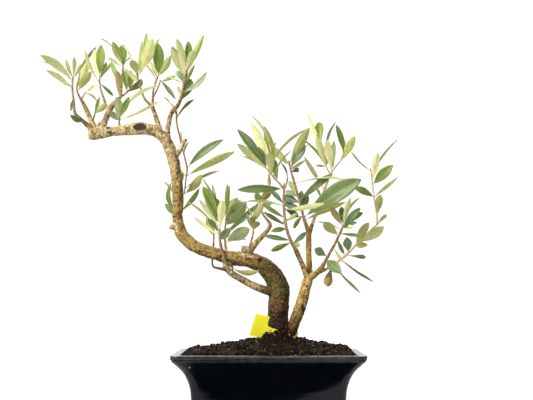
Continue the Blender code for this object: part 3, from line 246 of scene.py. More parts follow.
# The pot: slip-cast stoneware under a thick, glossy near-black glaze. Its walls flare from a narrow waist
# to a plain lip, the inside follows them, and the foot is a flat rim with a middle rib and a drain hole
# each side of it.
RIM_WIDTH, RIM_DEPTH = 186.0, 144.0
POT_HEIGHT = 85.5
LIP_EDGE = POT_HEIGHT - 5.3            # where the wall passes into the lip
RIM_FLAT = 8.5
FLARE_DEPTH, FLARE_HEIGHT = 19.0, 46.0
# The wall below the lip: how far down, and how far in from the rim.
FLARE = (
    (0.0, 0.7), (1.5, 2.0), (4.5, 5.2), (8.5, 9.2), (11.5, 11.6), (14.5, 13.4), (18.5, 15.3), (23.5, 17.0),
    (28.5, 18.1), (36.0, 18.8), (FLARE_HEIGHT, FLARE_DEPTH), (POT_HEIGHT, FLARE_DEPTH),
)
WALL_RINGS, WALL_STEP = 29, 1.5
# Sections of the foot, the lip and the inner edge: how far in from their own line, and how high over it.
FOOT_SECTION = ((0.8, 0.0), (0.25, 0.25), (0.0, 0.8), (0.0, 12.0), (0.0, 24.0))
LIP_SECTION = ((2.1, -1.5), (1.1, -0.4), (0.8, 0.3), (0.95, 0.9), (0.75, 1.1), (0.15, 1.3), (0.0, 1.7))
INNER_EDGE = ((-1.2, 0.0), (-0.3, -0.3), (0.0, -1.0))
LIP_ROUNDING, LIP_STEPS = 1.3, 5
WALL, FLOOR = 6.0, 8.0
INSIDE_HEIGHTS = (24.0, 40.0, 54.0, 64.0, 71.0, LIP_EDGE)
FOOT_RECESS, FOOT_RIM, FOOT_RIB, FOOT_CORNER = 3.0, 12.0, 24.0, 5.0
CORNER_RADIUS, INNER_CORNER, CORNER_STEPS = 9.0, 6.0, 10
DRAIN_RADIUS, DRAIN_ACROSS = 7.0, 38.0
GLAZE_CHIP = (189.5, 367.0, -64.7)


def linear(red, green, blue):
    """A colour given in 0 to 255 as a screen shows it, as the renderer's linear colour."""
    parts = [value / 255 for value in (red, green, blue)]
    return (*[p / 12.92 if p <= 0.04045 else ((p + 0.055) / 1.055) ** 2.4 for p in parts], 1.0)


def plain_mesh(obj):
    """The object with its modifiers turned into a plain mesh."""
    evaluated = obj.evaluated_get(bpy.context.evaluated_depsgraph_get())
    mesh = bpy.data.meshes.new_from_object(evaluated)
    obj.modifiers.clear()
    obj.data = mesh
    return obj


def cut_with(obj, cutter):
    cut = obj.modifiers.new("cut", "BOOLEAN")
    cut.operation = "DIFFERENCE"
    cut.object = cutter
    plain_mesh(obj)
    bpy.data.objects.remove(cutter)


def rounded_rectangle(half_x, half_y, radius):
    points = []
    for quarter, (sx, sy) in enumerate(((1, 1), (-1, 1), (-1, -1), (1, -1))):
        for i in range(CORNER_STEPS + 1):
            angle = math.radians(90) * (quarter + i / CORNER_STEPS)
            points.append((sx * (half_x - radius) + radius * math.cos(angle),
                           sy * (half_y - radius) + radius * math.sin(angle)))
    return points


def skin(bm, rings):
    """Joins closed rings of the same count of points, each to the next, and closes both ends."""
    rings = [[bm.verts.new(point) for point in ring] for ring in rings]
    for near, far in zip(rings, rings[1:]):
        for i in range(len(near)):
            bm.faces.new((near[i - 1], near[i], far[i], far[i - 1]))
    bm.faces.new(list(reversed(rings[0])))
    bm.faces.new(rings[-1])
    bmesh.ops.recalc_face_normals(bm, faces=bm.faces)


def level_rings(sections):
    """The rings of outlines that each lie level, given as (points, height)."""
    return [[Vector((x, y, z)) * MM for x, y in points] for points, z in sections]


def flare(below_lip):
    """How far the wall stands in from the lip, that many millimetres below it."""
    for (low, inset), (high, further) in zip(FLARE, FLARE[1:]):
        if below_lip <= high:
            return inset + (further - inset) * (below_lip - low) / (high - low)
    return FLARE_DEPTH


def smooth_flare(below_lip, ease=1.6):
    """The flare with its straight pieces eased into each other."""
    around = [max(0.6, below_lip + ease * step / 2) for step in (-2, -1, 0, 1, 2)]
    return sum(flare(b) for b in around) / len(around)


def pot_section(inset, z, radius=CORNER_RADIUS):
    return rounded_rectangle(RIM_WIDTH / 2 - inset, RIM_DEPTH / 2 - inset, radius), z


def inner_sections(gap):
    """The pot's inside, from the floor up to the lip, moved inwards by gap."""
    found = []
    for z in (FLOOR + gap, *INSIDE_HEIGHTS):
        found.append(pot_section(max(flare(LIP_EDGE - z) + WALL, RIM_FLAT) + gap, z, INNER_CORNER))
    return found


def make_pot():
    outside = [pot_section(FLARE_DEPTH + inset, z) for inset, z in FOOT_SECTION]
    for below in (FLARE_HEIGHT - WALL_STEP * ring for ring in range(WALL_RINGS)):
        outside.append(pot_section(smooth_flare(below), LIP_EDGE - below))
    outside += [pot_section(inset, LIP_EDGE + over) for inset, over in LIP_SECTION]
    outside.append(pot_section(0.0, POT_HEIGHT - 1.5))
    for step in range(1, LIP_STEPS + 1):
        angle = math.radians(90) * step / LIP_STEPS
        outside.append(pot_section(LIP_ROUNDING * (1 - math.cos(angle)),
                                   POT_HEIGHT - LIP_ROUNDING * (1 - math.sin(angle))))
    inside = [pot_section(RIM_FLAT + inset, POT_HEIGHT + over, INNER_CORNER) for inset, over in INNER_EDGE]
    bm = bmesh.new()
    skin(bm, level_rings(outside + inside + list(reversed(inner_sections(0.0)))))
    pot = object_of(bm, "glazed_pot")
    width = RIM_WIDTH / 2 - FLARE_DEPTH - FOOT_RIM - FOOT_RIB / 2
    recess = rounded_rectangle(width / 2, RIM_DEPTH / 2 - FLARE_DEPTH - FOOT_RIM, FOOT_CORNER)
    for side in (-1, 1):
        bm = bmesh.new()
        skin(bm, level_rings(((recess, -1.0), (recess, FOOT_RECESS))))
        bmesh.ops.translate(bm, verts=bm.verts, vec=(side * (FOOT_RIB / 2 + width / 2) * MM, 0, 0))
        cut_with(pot, object_of(bm, "recess"))
        bm = bmesh.new()
        bmesh.ops.create_cone(bm, cap_ends=True, segments=32, depth=30 * MM,
                              radius1=DRAIN_RADIUS * MM, radius2=DRAIN_RADIUS * MM,
                              matrix=Matrix.Translation((side * DRAIN_ACROSS * MM, 0, 5 * MM)))
        cut_with(pot, object_of(bm, "drain"))
    pot.data.set_sharp_from_angle(angle=math.radians(40))
    return pot


def new_tree(name, result, **inputs):
    """A group of nodes with named inputs for each kind of value; itself, what it is given and its result."""
    tree = bpy.data.node_groups.new(name, "GeometryNodeTree" if result == "Geometry" else "ShaderNodeTree")
    tree.interface.new_socket(result, in_out="OUTPUT", socket_type="NodeSocket" + result)
    for kind, labels in inputs.items():
        for label in labels:
            tree.interface.new_socket(label, in_out="INPUT", socket_type="NodeSocket" + kind)
    return tree, tree.nodes.new("NodeGroupInput").outputs, tree.nodes.new("NodeGroupOutput").inputs[0]


def grain_group():
    """Noise over the object, with blotches of that size in metres."""
    tree, given, result = new_tree("surface_grain", "Float", Float=("Size", "Detail"))
    blotches = node_of(tree, "ShaderNodeTexNoise", {
        "Vector": node_of(tree, "ShaderNodeTexCoord").outputs["Object"],
        "Scale": calc(tree, "DIVIDE", 1.0, given["Size"]), "Detail": given["Detail"]})
    feed(tree, result, blotches.outputs["Fac"])
    return tree


def spot_group():
    """One round spot on the object: full up to the inner radius, none past the outer one."""
    tree, given, result = new_tree("round_spot", "Float", Vector=("Centre",), Float=("Inner", "Outer"))
    coordinates = node_of(tree, "ShaderNodeTexCoord").outputs["Object"]
    gap = node_of(tree, "ShaderNodeVectorMath", {0: coordinates, 1: given["Centre"]}, operation="DISTANCE")
    feed(tree, result, from_to(tree, gap.outputs["Value"], given["Inner"], given["Outer"], 1.0, 0.0))
    return tree


def placed(tree, group, **inputs):
    """The group's result in this material, with these inputs."""
    return node_of(tree, "ShaderNodeGroup", inputs, node_tree=group).outputs[0]


SURFACE_GRAIN, ROUND_SPOT = grain_group(), spot_group()


def grain(tree, size, detail=2.0):
    return placed(tree, SURFACE_GRAIN, Size=size * MM, Detail=detail)


def bump(tree, height, strength, distance):
    inputs = {"Strength": strength, "Distance": distance * MM, "Height": height}
    return node_of(tree, "ShaderNodeBump", inputs).outputs["Normal"]


def glaze_material():
    made, tree, shader = new_material("black_glaze")
    cloud = from_to(tree, grain(tree, 22.0, 3.0), 0.35, 0.7)
    deep = blend(tree, cloud, linear(2, 5, 8), linear(7, 10, 15))
    height, edge = position(tree)["Z"], LIP_EDGE * MM
    # Painted reflection: grey patches from just under the lip's edge upwards, and a darker line at the
    # groove.
    painted_reflection_band = times(tree, from_to(tree, height, edge - 2.2 * MM, edge - 0.2 * MM),
                 from_to(tree, grain(tree, 9.0, 3.0), 0.3, 0.65, 0.35, 1.0))
    reflected_grey = blend(tree, painted_reflection_band, deep, linear(50, 53, 58))
    off_groove = calc(tree, "ABSOLUTE", minus(tree, height, edge + 0.9 * MM))
    groove_darkened = blend(tree, from_to(tree, off_groove, 0.2 * MM, 0.7 * MM, 0.9, 0.0), reflected_grey, linear(9, 12, 18))
    chip = placed(tree, ROUND_SPOT, Centre=place(*GLAZE_CHIP), Inner=0.7 * MM, Outer=1.7 * MM)
    fill(tree, shader, {
        "Base Color": blend(tree, chip, groove_darkened, linear(196, 178, 138)), "IOR": 1.45,
        "Roughness": from_to(tree, grain(tree, 3.0), 0.3, 0.8, 0.06, 0.14),
        "Normal": bump(tree, grain(tree, 14.0, 1.0), 0.3, 0.2)})
    return made


pot = make_pot()
pot.data.materials.clear()
pot.data.materials.append(glaze_material())
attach(pot, "root")
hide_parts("pot")

# The drain screens: squares of black moulded plastic mesh. Each lies loose on the pot's floor, over a drain
# hole, and keeps the soil in.
SCREEN_SIDE, SCREEN_THICK, SCREEN_GAP = 26.0, 1.2, 0.3
SCREEN_BARS, SCREEN_BAR = 8, 1.3


def dressed(tree, shape, material):
    return node_of(tree, "GeometryNodeSetMaterial", {"Geometry": shape.outputs[0], "Material": material})


def screen_tree():
    """Geometry nodes: a row of bars along X and one along Y, crossing in a square mesh."""
    tree, given, result = new_tree("plastic_mesh", "Geometry", Float=("Side", "Bar", "Thickness"),
                                   Int=("Bars",), Material=("Material",))
    reach = times(tree, minus(tree, given["Side"], given["Bar"]), 0.5)
    both = node_of(tree, "GeometryNodeJoinGeometry")
    for along, over in (("X", "Y"), ("Y", "X")):
        size = node_of(tree, "ShaderNodeCombineXYZ", {
            along: given["Side"], over: given["Bar"], "Z": given["Thickness"]})
        bar = node_of(tree, "GeometryNodeMeshCube", {"Size": size.outputs[0]})
        first = node_of(tree, "ShaderNodeCombineXYZ", {over: times(tree, reach, -1.0)})
        last = node_of(tree, "ShaderNodeCombineXYZ", {over: reach})
        row = node_of(tree, "GeometryNodeMeshLine", {
            "Count": given["Bars"], "Start Location": first.outputs[0], "Offset": last.outputs[0],
        }, mode="END_POINTS")
        bars = node_of(tree, "GeometryNodeInstanceOnPoints", {
            "Points": row.outputs[0], "Instance": bar.outputs["Mesh"]})
        feed(tree, both.inputs[0], bars.outputs[0])
    whole = node_of(tree, "GeometryNodeRealizeInstances", {0: both.outputs[0]})
    feed(tree, result, dressed(tree, whole, given["Material"]).outputs[0])
    return tree


def grow(obj, tree, **values):
    """Runs a geometry nodes tree on the object and keeps its result as a plain mesh."""
    modifier = obj.modifiers.new(tree.name, "NODES")
    modifier.node_group = tree
    for item in tree.interface.items_tree:
        if item.in_out == "INPUT" and item.name in values:
            modifier[item.identifier] = values[item.name]
    return plain_mesh(obj)


def screen_material():
    made, tree, shader = new_material("black_plastic_mesh")
    tone = blend(tree, grain(tree, 4.0), linear(24, 24, 24), linear(46, 42, 38))
    fill(tree, shader, {"Base Color": tone, "Roughness": 0.55})
    return made


screen_shape, screen_finish = screen_tree(), screen_material()
for side_name, side in (("left", -1), ("right", 1)):
    screen = object_of(bmesh.new(), "drain_mesh_" + side_name, smooth=False)
    grow(screen, screen_shape, Side=SCREEN_SIDE * MM, Bar=SCREEN_BAR * MM, Thickness=SCREEN_THICK * MM,
         Bars=SCREEN_BARS, Material=screen_finish)
    resting = FLOOR + SCREEN_GAP + SCREEN_THICK / 2
    screen.data.transform(Matrix.Translation((side * DRAIN_ACROSS * MM, 0, resting * MM)))
    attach(screen, "root")
    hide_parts("drain_screen_" + side_name)

# The wood: both trunks, their branches, sawn stubs and old pruning scars, all one grown piece. The bark is
# smooth and golden, lumpy with old buds, paler on the upper limb, and stained by the soil at the foot.
TRUNK_STEP, BRANCH_STEP = 2.5, 2.0     # how closely the rings of a limb stand
BARK_VOXEL = 0.7
BARK_SWELL = 0.5                       # gives back what smoothing the skin takes off the limbs
LUMP_GRAIN, FLAKE_GRAIN = 7.5, 2.7
LUMP_RISE, FLAKE_RISE, CREASE_DEPTH = 0.75, 0.42, 0.30
RAGGED_GRAIN, RAGGED_REACH = 4.5, 5.0  # the bark's colours meet in ragged lines
SCAR_RIM, SCAR_RIM_WIDTH, SCAR_RIM_RISE = 1.2, 0.28, 0.3
STAINED, RUSTY, OLIVE = linear(50, 35, 24), linear(130, 88, 54), linear(104, 90, 46)
TAN = linear(178, 147, 86)
GOLD, BEIGE = linear(214, 182, 110), linear(226, 202, 152)
TWIG_BROWN, DEAD_WOOD = linear(160, 128, 84), linear(244, 228, 188)

# The main trunk: across, down, depth, radius.
MAIN_TRUNK = (
    (277.0, 370, 0, 8.5), (278.0, 352, 0, 11.4), (278.5, 336, 0, 10.8), (278.0, 320, 0, 10.0),
    (278.7, 303, 0, 10.2), (279.0, 291, 0, 10.6), (276.5, 282, 0, 9.8), (271.5, 273.5, -1, 9.1),
    (264.3, 266.5, -3, 8.5), (255.5, 261.8, -4, 7.7), (244.5, 259.0, -5, 7.1), (232.0, 258.5, -5, 6.5),
    (220.0, 255.0, -5, 6.1), (210.0, 252.3, -4, 5.9), (200.0, 248.8, -3, 5.7), (191.0, 243.8, -1, 5.8),
    (183.8, 236.8, 1, 5.8), (179.3, 228.0, 2, 5.5), (177.6, 217.0, 3, 5.0), (178.2, 203.0, 3, 5.2),
    (177.6, 190.0, 2, 5.4), (176.8, 178.0, 1, 5.5), (175.0, 167.0, 0, 5.2), (172.3, 155.0, -1, 5.6),
    (168.0, 144.5, -2, 5.4), (162.8, 136.8, -3, 5.2), (156.0, 131.6, -4, 5.2), (148.0, 129.2, -5, 5.6),
    (139.0, 128.5, -6, 5.8), (129.5, 129.3, -6, 5.6), (120.0, 130.8, -6, 4.6), (110.0, 131.8, -6, 4.8),
    (100.0, 133.0, -6, 5.7), (93.0, 133.8, -6, 5.8), (89.0, 134.2, -6, 5.2),
)
# The bark's colour at a share of the limb's length, blended to the next.
TRUNK_BARK = (
    (0, STAINED), (0.145, STAINED), (0.17, RUSTY), (0.20, OLIVE), (0.28, OLIVE), (0.34, TAN), (0.62, TAN),
    (0.79, BEIGE), (1, BEIGE),
)
SECOND_TRUNK = (
    (281.0, 360, 0, 4.0), (288.0, 346, -1, 5.0), (291.3, 334, -2, 5.0), (294.5, 322, -3, 5.3),
    (298.6, 311, -3, 5.5), (302.2, 301, -3, 5.4), (305.0, 290, -2, 5.1), (307.6, 281, -1, 4.9),
    (309.0, 274.5, 0, 4.4),
)
SECOND_BARK = ((0, STAINED), (0.34, STAINED), (0.42, RUSTY), (0.55, TAN), (0.65, GOLD), (1, GOLD))
STUBS = (
    ((174.5, 157, -1, 3.2), (179.8, 150.5, -2, 2.3), (183.2, 143.5, -3, 2.1), (185.4, 138.8, -3, 2.4)),
    ((178.0, 228.5, 1, 2.6), (173.5, 227.5, -1, 2.3), (169.8, 226.3, -2, 2.6)),
    ((96.0, 130.0, -6, 1.6), (98.2, 125.0, -8, 1.2), (99.3, 121.2, -9, 0.9)),
    ((171.8, 113.0, -5, 1.4), (169.2, 112.8, -6, 0.9)),
    ((250.0, 252.5, -6, 4.0), (245.8, 249.4, -9, 3.8), (241.6, 248.4, -10, 2.8)),
    ((302.0, 265.5, -4, 1.3), (298.8, 264.2, -6, 0.8)),
)

# A shoot's route is across, down, depth, radius; as many of its points as woody says belong to the wood. A
# leaf's row is where its stalk grows and where its tip is, the face that the view shows, its width and its
# colour there, then how far its middle is pushed to the right, seen from its stalk, and where it is broadest.
UPPER, UNDER, EDGE = "upper", "under", "edge"
Leaf = namedtuple("Leaf", "root_across root_down across down depth face width tone bend broadest",
                  defaults=(0.0, 0.55))
Spray = namedtuple("Spray", "name woody route twigs leaves")
SPRAYS = (
    Spray("spray_tip", 2, (
        (93, 131, -6, 3), (88.5, 126, -7, 2.5), (83, 121.3, -9, 2.1), (77.8, 116.8, -11, 1.8),
        (75, 113.2, -12, 1.5), (74.2, 107, -13, 1.2), (73.6, 100, -14, 1.1), (72.7, 93, -15, 1),
        (72.4, 85, -16, 0.9), (73, 77, -17, 0.8),
    ), (), (
        (72.5, 80, 40, 55, -32, UNDER, 8, "pale", 2), (72.5, 83, 42, 61.5, -6, EDGE, 3, "olive", 2),
        (72.4, 90, 46, 70, -24, UNDER, 5.5, "pale", 1.5), (72.4, 88, 62, 80.5, -2, UPPER, 4, "dark"),
        (73, 78, 66, 59.5, -10, UPPER, 4, "green"), (73, 77, 74, 56.5, -26, UNDER, 4.5, "olive"),
        (73, 79, 81, 64, -34, UNDER, 4, "olive"), (73.5, 99, 70.8, 111.5, -24, UPPER, 3.5, "dark"),
        (83.5, 121.7, 69.8, 114.8, -20, UPPER, 5.5, "dark", -2),
    )),
    Spray("spray_tip_inner", 4, (
        (95.5, 131, -5, 3.3), (92, 122.5, -3, 2.7), (88.5, 114.5, -1, 2.3), (85, 107, 1, 2),
        (82.2, 101.5, 2, 1.6), (79.6, 97, 3, 1.2), (77.6, 93, 4, 1), (76.8, 88, 5, 0.8), (77.2, 82, 6, 0.7),
    ), (
        ((80.8, 99.5, 2.5, 0.9), (83.5, 96, 5, 0.7), (85, 92.5, 7, 0.6)),
    ), (
        (76.8, 88, 88.5, 60, 16, UNDER, 8, "pale"), (77, 85, 83.5, 74, 20, UNDER, 4, "pale"),
        (77.4, 92, 91, 71.5, -8, UNDER, 8, "olive"), (77.2, 83, 97, 46.5, 40, EDGE, 4, "olive"),
        (84.8, 93, 95.5, 84, 0, UNDER, 3.5, "cream"), (84.8, 92.7, 97, 101.5, 14, EDGE, 4, "pale"),
    )),
    Spray("spray_fork_base", 3, (
        (91.5, 121, -3, 1.9), (93, 118.6, -7, 1.3), (93.8, 117, -9, 1.1), (94.6, 115, -11, 0.9),
        (95.4, 112, -12, 0.7),
    ), (), (
        (94.6, 115, 99.8, 96.5, -20, UPPER, 3.5, "green"), (95, 114, 107, 103.5, -16, UNDER, 6.5, "olive"),
        (95.3, 112.5, 99, 101, -8, UPPER, 3, "dark"),
    )),
    Spray("spray_crown_left", 4, (
        (109.8, 110.5, -3, 1.8), (107.8, 108.2, 0, 1.5), (106.2, 105, 3, 1.4), (105, 102, 5, 1.3),
        (102.8, 95.5, 8, 1.1), (100.8, 89.5, 10, 0.9), (99.6, 83, 12, 0.8), (99.8, 77, 13, 0.8),
    ), (), (
        (99.8, 77, 101, 44.5, 4, UPPER, 9.5, "bright", 0, 0.58),
        (99.8, 79.5, 93.5, 49.5, 24, UNDER, 7.5, "cream", -1),
        (99.7, 79, 106.3, 62, 8, UPPER, 5, "dark", 1.5), (99.8, 77, 112.5, 61.5, 24, UNDER, 4, "olive"),
        (99.6, 82.5, 84.8, 49.5, -10, UNDER, 4, "cream", -3), (99.6, 82, 113.5, 96, 24, UPPER, 3.5, "green"),
    )),
    Spray("spray_crown_up", 6, (
        (101, 131, -6, 3.6), (104, 123, -5, 3.3), (107, 116, -4, 3), (110, 109.5, -3, 2.8),
        (112.6, 105, -4, 2.6), (115.4, 102.6, -6, 2.4), (118.4, 100.2, -8, 2), (120.6, 96.5, -9, 1.5),
        (121.2, 90, -10, 1.3), (122, 80, -11, 1.1), (122.7, 71, -12, 1), (123.2, 66, -12, 0.8),
    ), (
        ((120.4, 97.2, -9, 1.1), (124.5, 94.5, -7, 1), (128.2, 91, -5, 0.9), (132, 86.5, -3, 0.8),
         (135, 83.5, -2, 0.7)),
    ), (
        (123.2, 66.5, 112.5, 41.5, -22, UNDER, 7.5, "olive"), (123.1, 67, 121.5, 45, -2, UPPER, 9, "moss"),
        (123, 68, 107.5, 57.5, -20, UNDER, 3.5, "cream"), (121.4, 87, 111, 61.5, 0, UPPER, 5, "green"),
        (119.6, 98.6, 117, 70.5, -20, UNDER, 8, "brown"), (127.4, 91.8, 124.5, 70.5, 4, UPPER, 6.5, "green"),
        (129.5, 89.5, 130.5, 70, 6, UNDER, 8, "olive"), (126.5, 92.7, 142, 79, 10, UPPER, 7, "dark", 2.5),
        (123.1, 67, 138, 81.5, -24, UNDER, 5, "olive"), (123.2, 66, 131.5, 57.5, -2, EDGE, 3, "olive"),
        (122.9, 69, 100, 38.5, 10, EDGE, 3.5, "moss", 2),
    )),
    Spray("spray_on_bend", 3, (
        (120, 130, -5, 2), (119.5, 126.4, -6, 1.6), (119.3, 124.8, -6.5, 1.3), (119.2, 122.5, -7, 1),
        (119.4, 119.5, -8, 0.8), (119.8, 116.5, -9, 0.7),
    ), (), (
        (119.3, 120.5, 116.8, 96.5, -16, UNDER, 9.5, "grey"),
        (119.3, 121.5, 109.8, 111.5, -14, UNDER, 6.5, "grey"),
        (119.7, 118, 129.5, 96.5, -20, UPPER, 6.5, "green"),
        (119.4, 120, 158.5, 101.5, -12, EDGE, 4, "cream", 5.5),
        (119.8, 117, 166.5, 85.5, -34, EDGE, 4, "cream", -4.5),
    )),
    Spray("spray_crown_pale", 5, (
        (160, 133, -3, 3.4), (158.5, 126, -1, 2.7), (156.2, 118, 1, 2.3), (153.6, 110.8, 2, 2),
        (151.2, 106.2, 1, 1.6), (148.2, 102.8, -1, 1.3), (144.6, 98.8, -4, 1.2), (142, 92, -7, 1),
        (139.6, 85.5, -10, 1), (138, 79, -12, 0.9), (136.7, 72, -14, 0.8),
    ), (), (
        (136.7, 72, 117.5, 38, -6, EDGE, 3.5, "cream"), (137.2, 75.5, 152.5, 38.5, -30, UNDER, 12, "pale"),
        (136.8, 73, 146.5, 32, -10, UPPER, 6, "bright", 3.5), (137, 74.5, 131.5, 60, -28, UNDER, 8, "olive"),
        (136.8, 73, 142, 40.5, 4, UNDER, 4.5, "olive"), (137.5, 77, 159.5, 37.5, -14, UNDER, 3.5, "fresh"),
    )),
    Spray("spray_crown_dark", 3, (
        (155, 114, 2, 2), (153.4, 108.6, 6, 1.6), (152.9, 105, 8, 1.5), (152.7, 99, 10, 1.2),
        (153, 93, 12, 1), (154, 87, 14, 0.9), (156.4, 80.5, 15, 0.9), (158.2, 76, 16, 0.8),
    ), (
        ((152.8, 98, 10.3, 1), (155.6, 92.5, 9, 0.9), (158.5, 86.5, 8, 0.8), (160.5, 80, 8, 0.7)),
    ), (
        (158, 76.5, 158, 43, 8, UPPER, 11.5, "moss"), (157.6, 77.5, 150, 61, 26, UNDER, 4, "pale"),
        (158.2, 76, 171, 55, 28, UNDER, 8, "olive"), (156.8, 79.5, 144.5, 64.5, 22, EDGE, 3, "olive"),
        (160.4, 80.5, 175.5, 99.5, 2, UPPER, 4.5, "teal"), (160.4, 81, 176, 75.5, 14, UNDER, 3.5, "fresh"),
    )),
    Spray("spray_crown_right", 6, (
        (167.5, 138, -2, 3.6), (167.3, 131, -2, 2.6), (168.6, 124, -3, 2.4), (170, 117, -4, 2.2),
        (172.2, 111.8, -5, 2.2), (175, 108.6, -6, 2.1), (178.2, 104.8, -7, 1.9), (181, 98, -8, 1.7),
        (183.2, 90, -9, 1.6), (184.6, 82, -10, 1.5), (185.8, 75.5, -11, 1.3), (187.2, 68, -12, 1),
    ), (), (
        (185.2, 78.5, 171.5, 46, -20, UNDER, 9.5, "pale"),
        (185.3, 78, 178.5, 52.5, -36, UNDER, 5.5, "cream"), (187, 69, 176.5, 38.5, -16, UNDER, 7, "pale"),
        (187.1, 68.5, 188.5, 41, 2, UPPER, 7.5, "moss"), (186.4, 72, 193.5, 50, -28, UNDER, 8, "pale"),
        (186, 74.5, 204, 34.5, -8, UNDER, 6, "fresh"), (184.2, 84.5, 176.6, 70.5, 4, UPPER, 7, "teal"),
        (183.9, 86, 195, 64, 6, UNDER, 4, "olive"), (180.4, 102, 190.8, 78.5, 4, UPPER, 10.5, "dark", 2),
        (182.6, 92.5, 207, 72, -16, UPPER, 6.5, "grey", 4.5), (184.3, 84, 166, 77.5, -4, EDGE, 3, "fresh"),
        (181.2, 97.5, 177.8, 86, -16, UNDER, 4, "cream"),
    )),
    Spray("spray_hanging", 3, (
        (173.2, 110.6, -5.5, 1.5), (175.8, 111.6, -2, 1.2), (176.8, 114, 0, 1), (176.4, 119, 2, 0.9),
        (177.4, 127, 4, 0.9), (179.6, 136, 5, 0.9), (181.6, 145, 6, 0.8), (184.4, 156, 7, 0.8),
        (187, 168, 8, 0.8), (186.4, 176, 9, 0.7), (185.4, 184, 10, 0.7), (184.4, 194, 11, 0.6),
    ), (), (
        (186.9, 168.5, 223.5, 139.5, -2, UPPER, 8.5, "dark", -2),
        (186.4, 176, 235, 151.5, 4, UNDER, 8, "olive", -2), (176.4, 119, 194.5, 99.5, 14, EDGE, 4, "moss"),
        (176.5, 118, 163.5, 97, 16, EDGE, 4, "moss"), (186.2, 177, 178, 169, 34, EDGE, 5, "cream"),
        (184.5, 193.5, 201.5, 174.5, 4, UNDER, 8.5, "olive", 1.5),
        (185, 188, 219.5, 171, 20, EDGE, 4, "olive"), (181.6, 145, 180.4, 130, 12, UNDER, 3, "cream"),
        (184, 154, 189, 142, 12, EDGE, 2.5, "olive"),
    )),
    Spray("spray_behind", 3, (
        (178.5, 224, 2, 2.2), (179, 223, 8, 1.7), (179, 222, 10.5, 1.4), (179, 218.5, 13, 1.1),
        (178.6, 211, 15, 1), (178.2, 203, 16, 0.9), (178, 195, 17, 0.8), (178, 189, 18, 0.7),
    ), (), (
        (178.9, 217, 164.8, 203.5, 12, UPPER, 6.5, "teal"),
        (178.7, 213, 171.5, 182.5, 10, UPPER, 5, "moss", -6.5),
        (178.2, 203, 163.5, 181.5, 24, EDGE, 4, "grey"),
        (178.7, 214, 199.5, 188, 24, UPPER, 5.5, "moss", 3.5), (178, 190, 183, 172, 30, UPPER, 5, "dark"),
    )),
    Spray("spray_low_pale", 9, (
        (279, 294, -2, 4.8), (268, 291, -4, 4.1), (255, 286.3, -8, 3.5), (243, 280, -11, 3.3),
        (233, 274.5, -13, 3.1), (227.3, 269.3, -14.5, 2.8), (224.8, 262, -14, 2.4), (222.8, 254, -12.6, 2),
        (221, 247, -12, 1.6), (219.8, 240, -12, 1.2), (219.5, 234, -13, 1), (219.8, 228, -14, 0.9),
        (220, 221, -15, 0.8),
    ), (), (
        (219.6, 232, 222.5, 200, -32, UNDER, 8.5, "cream", 0, 0.64),
        (219.7, 229, 199, 199.5, -30, UNDER, 5, "cream"),
        (220, 223, 203, 186.5, -14, UPPER, 10, "moss", 0, 0.64),
        (219.9, 225, 204.5, 198, -6, UPPER, 4, "dark"), (220, 222, 212.5, 184, -5, UPPER, 4, "dark"),
        (219.9, 223, 217, 198.5, -8, UPPER, 7.5, "moss"), (219.6, 233, 207.8, 218.5, -20, UNDER, 5, "dark"),
        (219.6, 236, 193.5, 217, -16, UNDER, 3.5, "cream"), (219.6, 235, 186, 201.5, -6, EDGE, 4, "olive"),
        (219.6, 240, 230, 228, -22, UPPER, 8.5, "dark"), (219.9, 224, 201.5, 177.5, -24, EDGE, 3, "olive"),
    )),
    Spray("spray_low_left", 7, (
        (226.5, 270, -15, 1.8), (219.5, 268.4, -14.5, 1.3), (213.8, 267, -11.5, 1.1), (212.3, 263, -5, 1),
        (212.4, 257, 3, 1), (213, 250.5, 5.5, 1), (213.4, 245, 5, 1), (213.6, 240, 4, 0.9),
        (213.8, 235, 3, 0.8), (214, 229, 2, 0.7),
    ), (), (
        (213.7, 236, 206.5, 218, 6, UNDER, 7, "olive"), (213.9, 231, 216, 212, 8, UPPER, 5, "green"),
    )),
    Spray("spray_low_broad", 3, (
        (227, 256, -4, 2), (226.2, 250.5, -2, 1.6), (225.7, 247.5, -1, 1.4), (225.1, 243, 0, 1.1),
        (224.8, 237, 1, 1), (225, 230, 2, 0.9), (225.5, 223, 2, 0.8), (226, 217, 2, 0.7),
    ), (), (
        (224.9, 240.5, 249.5, 228.5, -6, UNDER, 12.5, "grey"),
        (224.9, 234, 258.5, 203.5, 0, UPPER, 5.5, "dark"), (225.2, 227, 246.5, 202, 10, UNDER, 17, "grey"),
        (225.7, 221, 237.5, 197.5, 20, UNDER, 12, "olive"), (226, 218, 227.3, 184, -4, UNDER, 5, "green"),
        (226, 218, 229.8, 185, 12, UPPER, 4, "dark"), (226, 219, 241.5, 199.5, 27, UPPER, 6, "moss"),
        (225, 243, 246.5, 239.5, 12, EDGE, 4, "dark"), (224.8, 238.5, 248, 219.5, 14, EDGE, 3.5, "olive"),
    )),
    Spray("spray_low_fork", 3, (
        (232.5, 274.5, -14, 2), (232.2, 271.2, -17, 1.3), (232.2, 269.8, -18, 1.1), (232.4, 268, -19, 0.9),
        (232.8, 266, -19.5, 0.7),
    ), (), (
        (232.4, 268, 228.5, 261.5, -24, UPPER, 3.5, "dark"),
        (232.5, 267.5, 260, 270.5, -18, UNDER, 5.5, "olive", 4.5),
    )),
    Spray("spray_mid", 3, (
        (249, 252, -4, 2), (250, 246.8, -7, 1.5), (250.6, 244, -8, 1.2), (251.8, 239, -9, 1),
        (253, 234, -10, 0.9), (253.4, 228, -11, 0.8), (253.2, 222, -12, 0.7),
    ), (), (
        (253.2, 231, 258.5, 221.5, -22, UNDER, 6, "brown"), (253.3, 229, 252, 216.5, -24, UNDER, 5, "brown"),
        (253.2, 231, 246.5, 213.5, -6, UPPER, 4, "dark"), (253.2, 223, 263.5, 202.5, -16, UNDER, 7, "pale"),
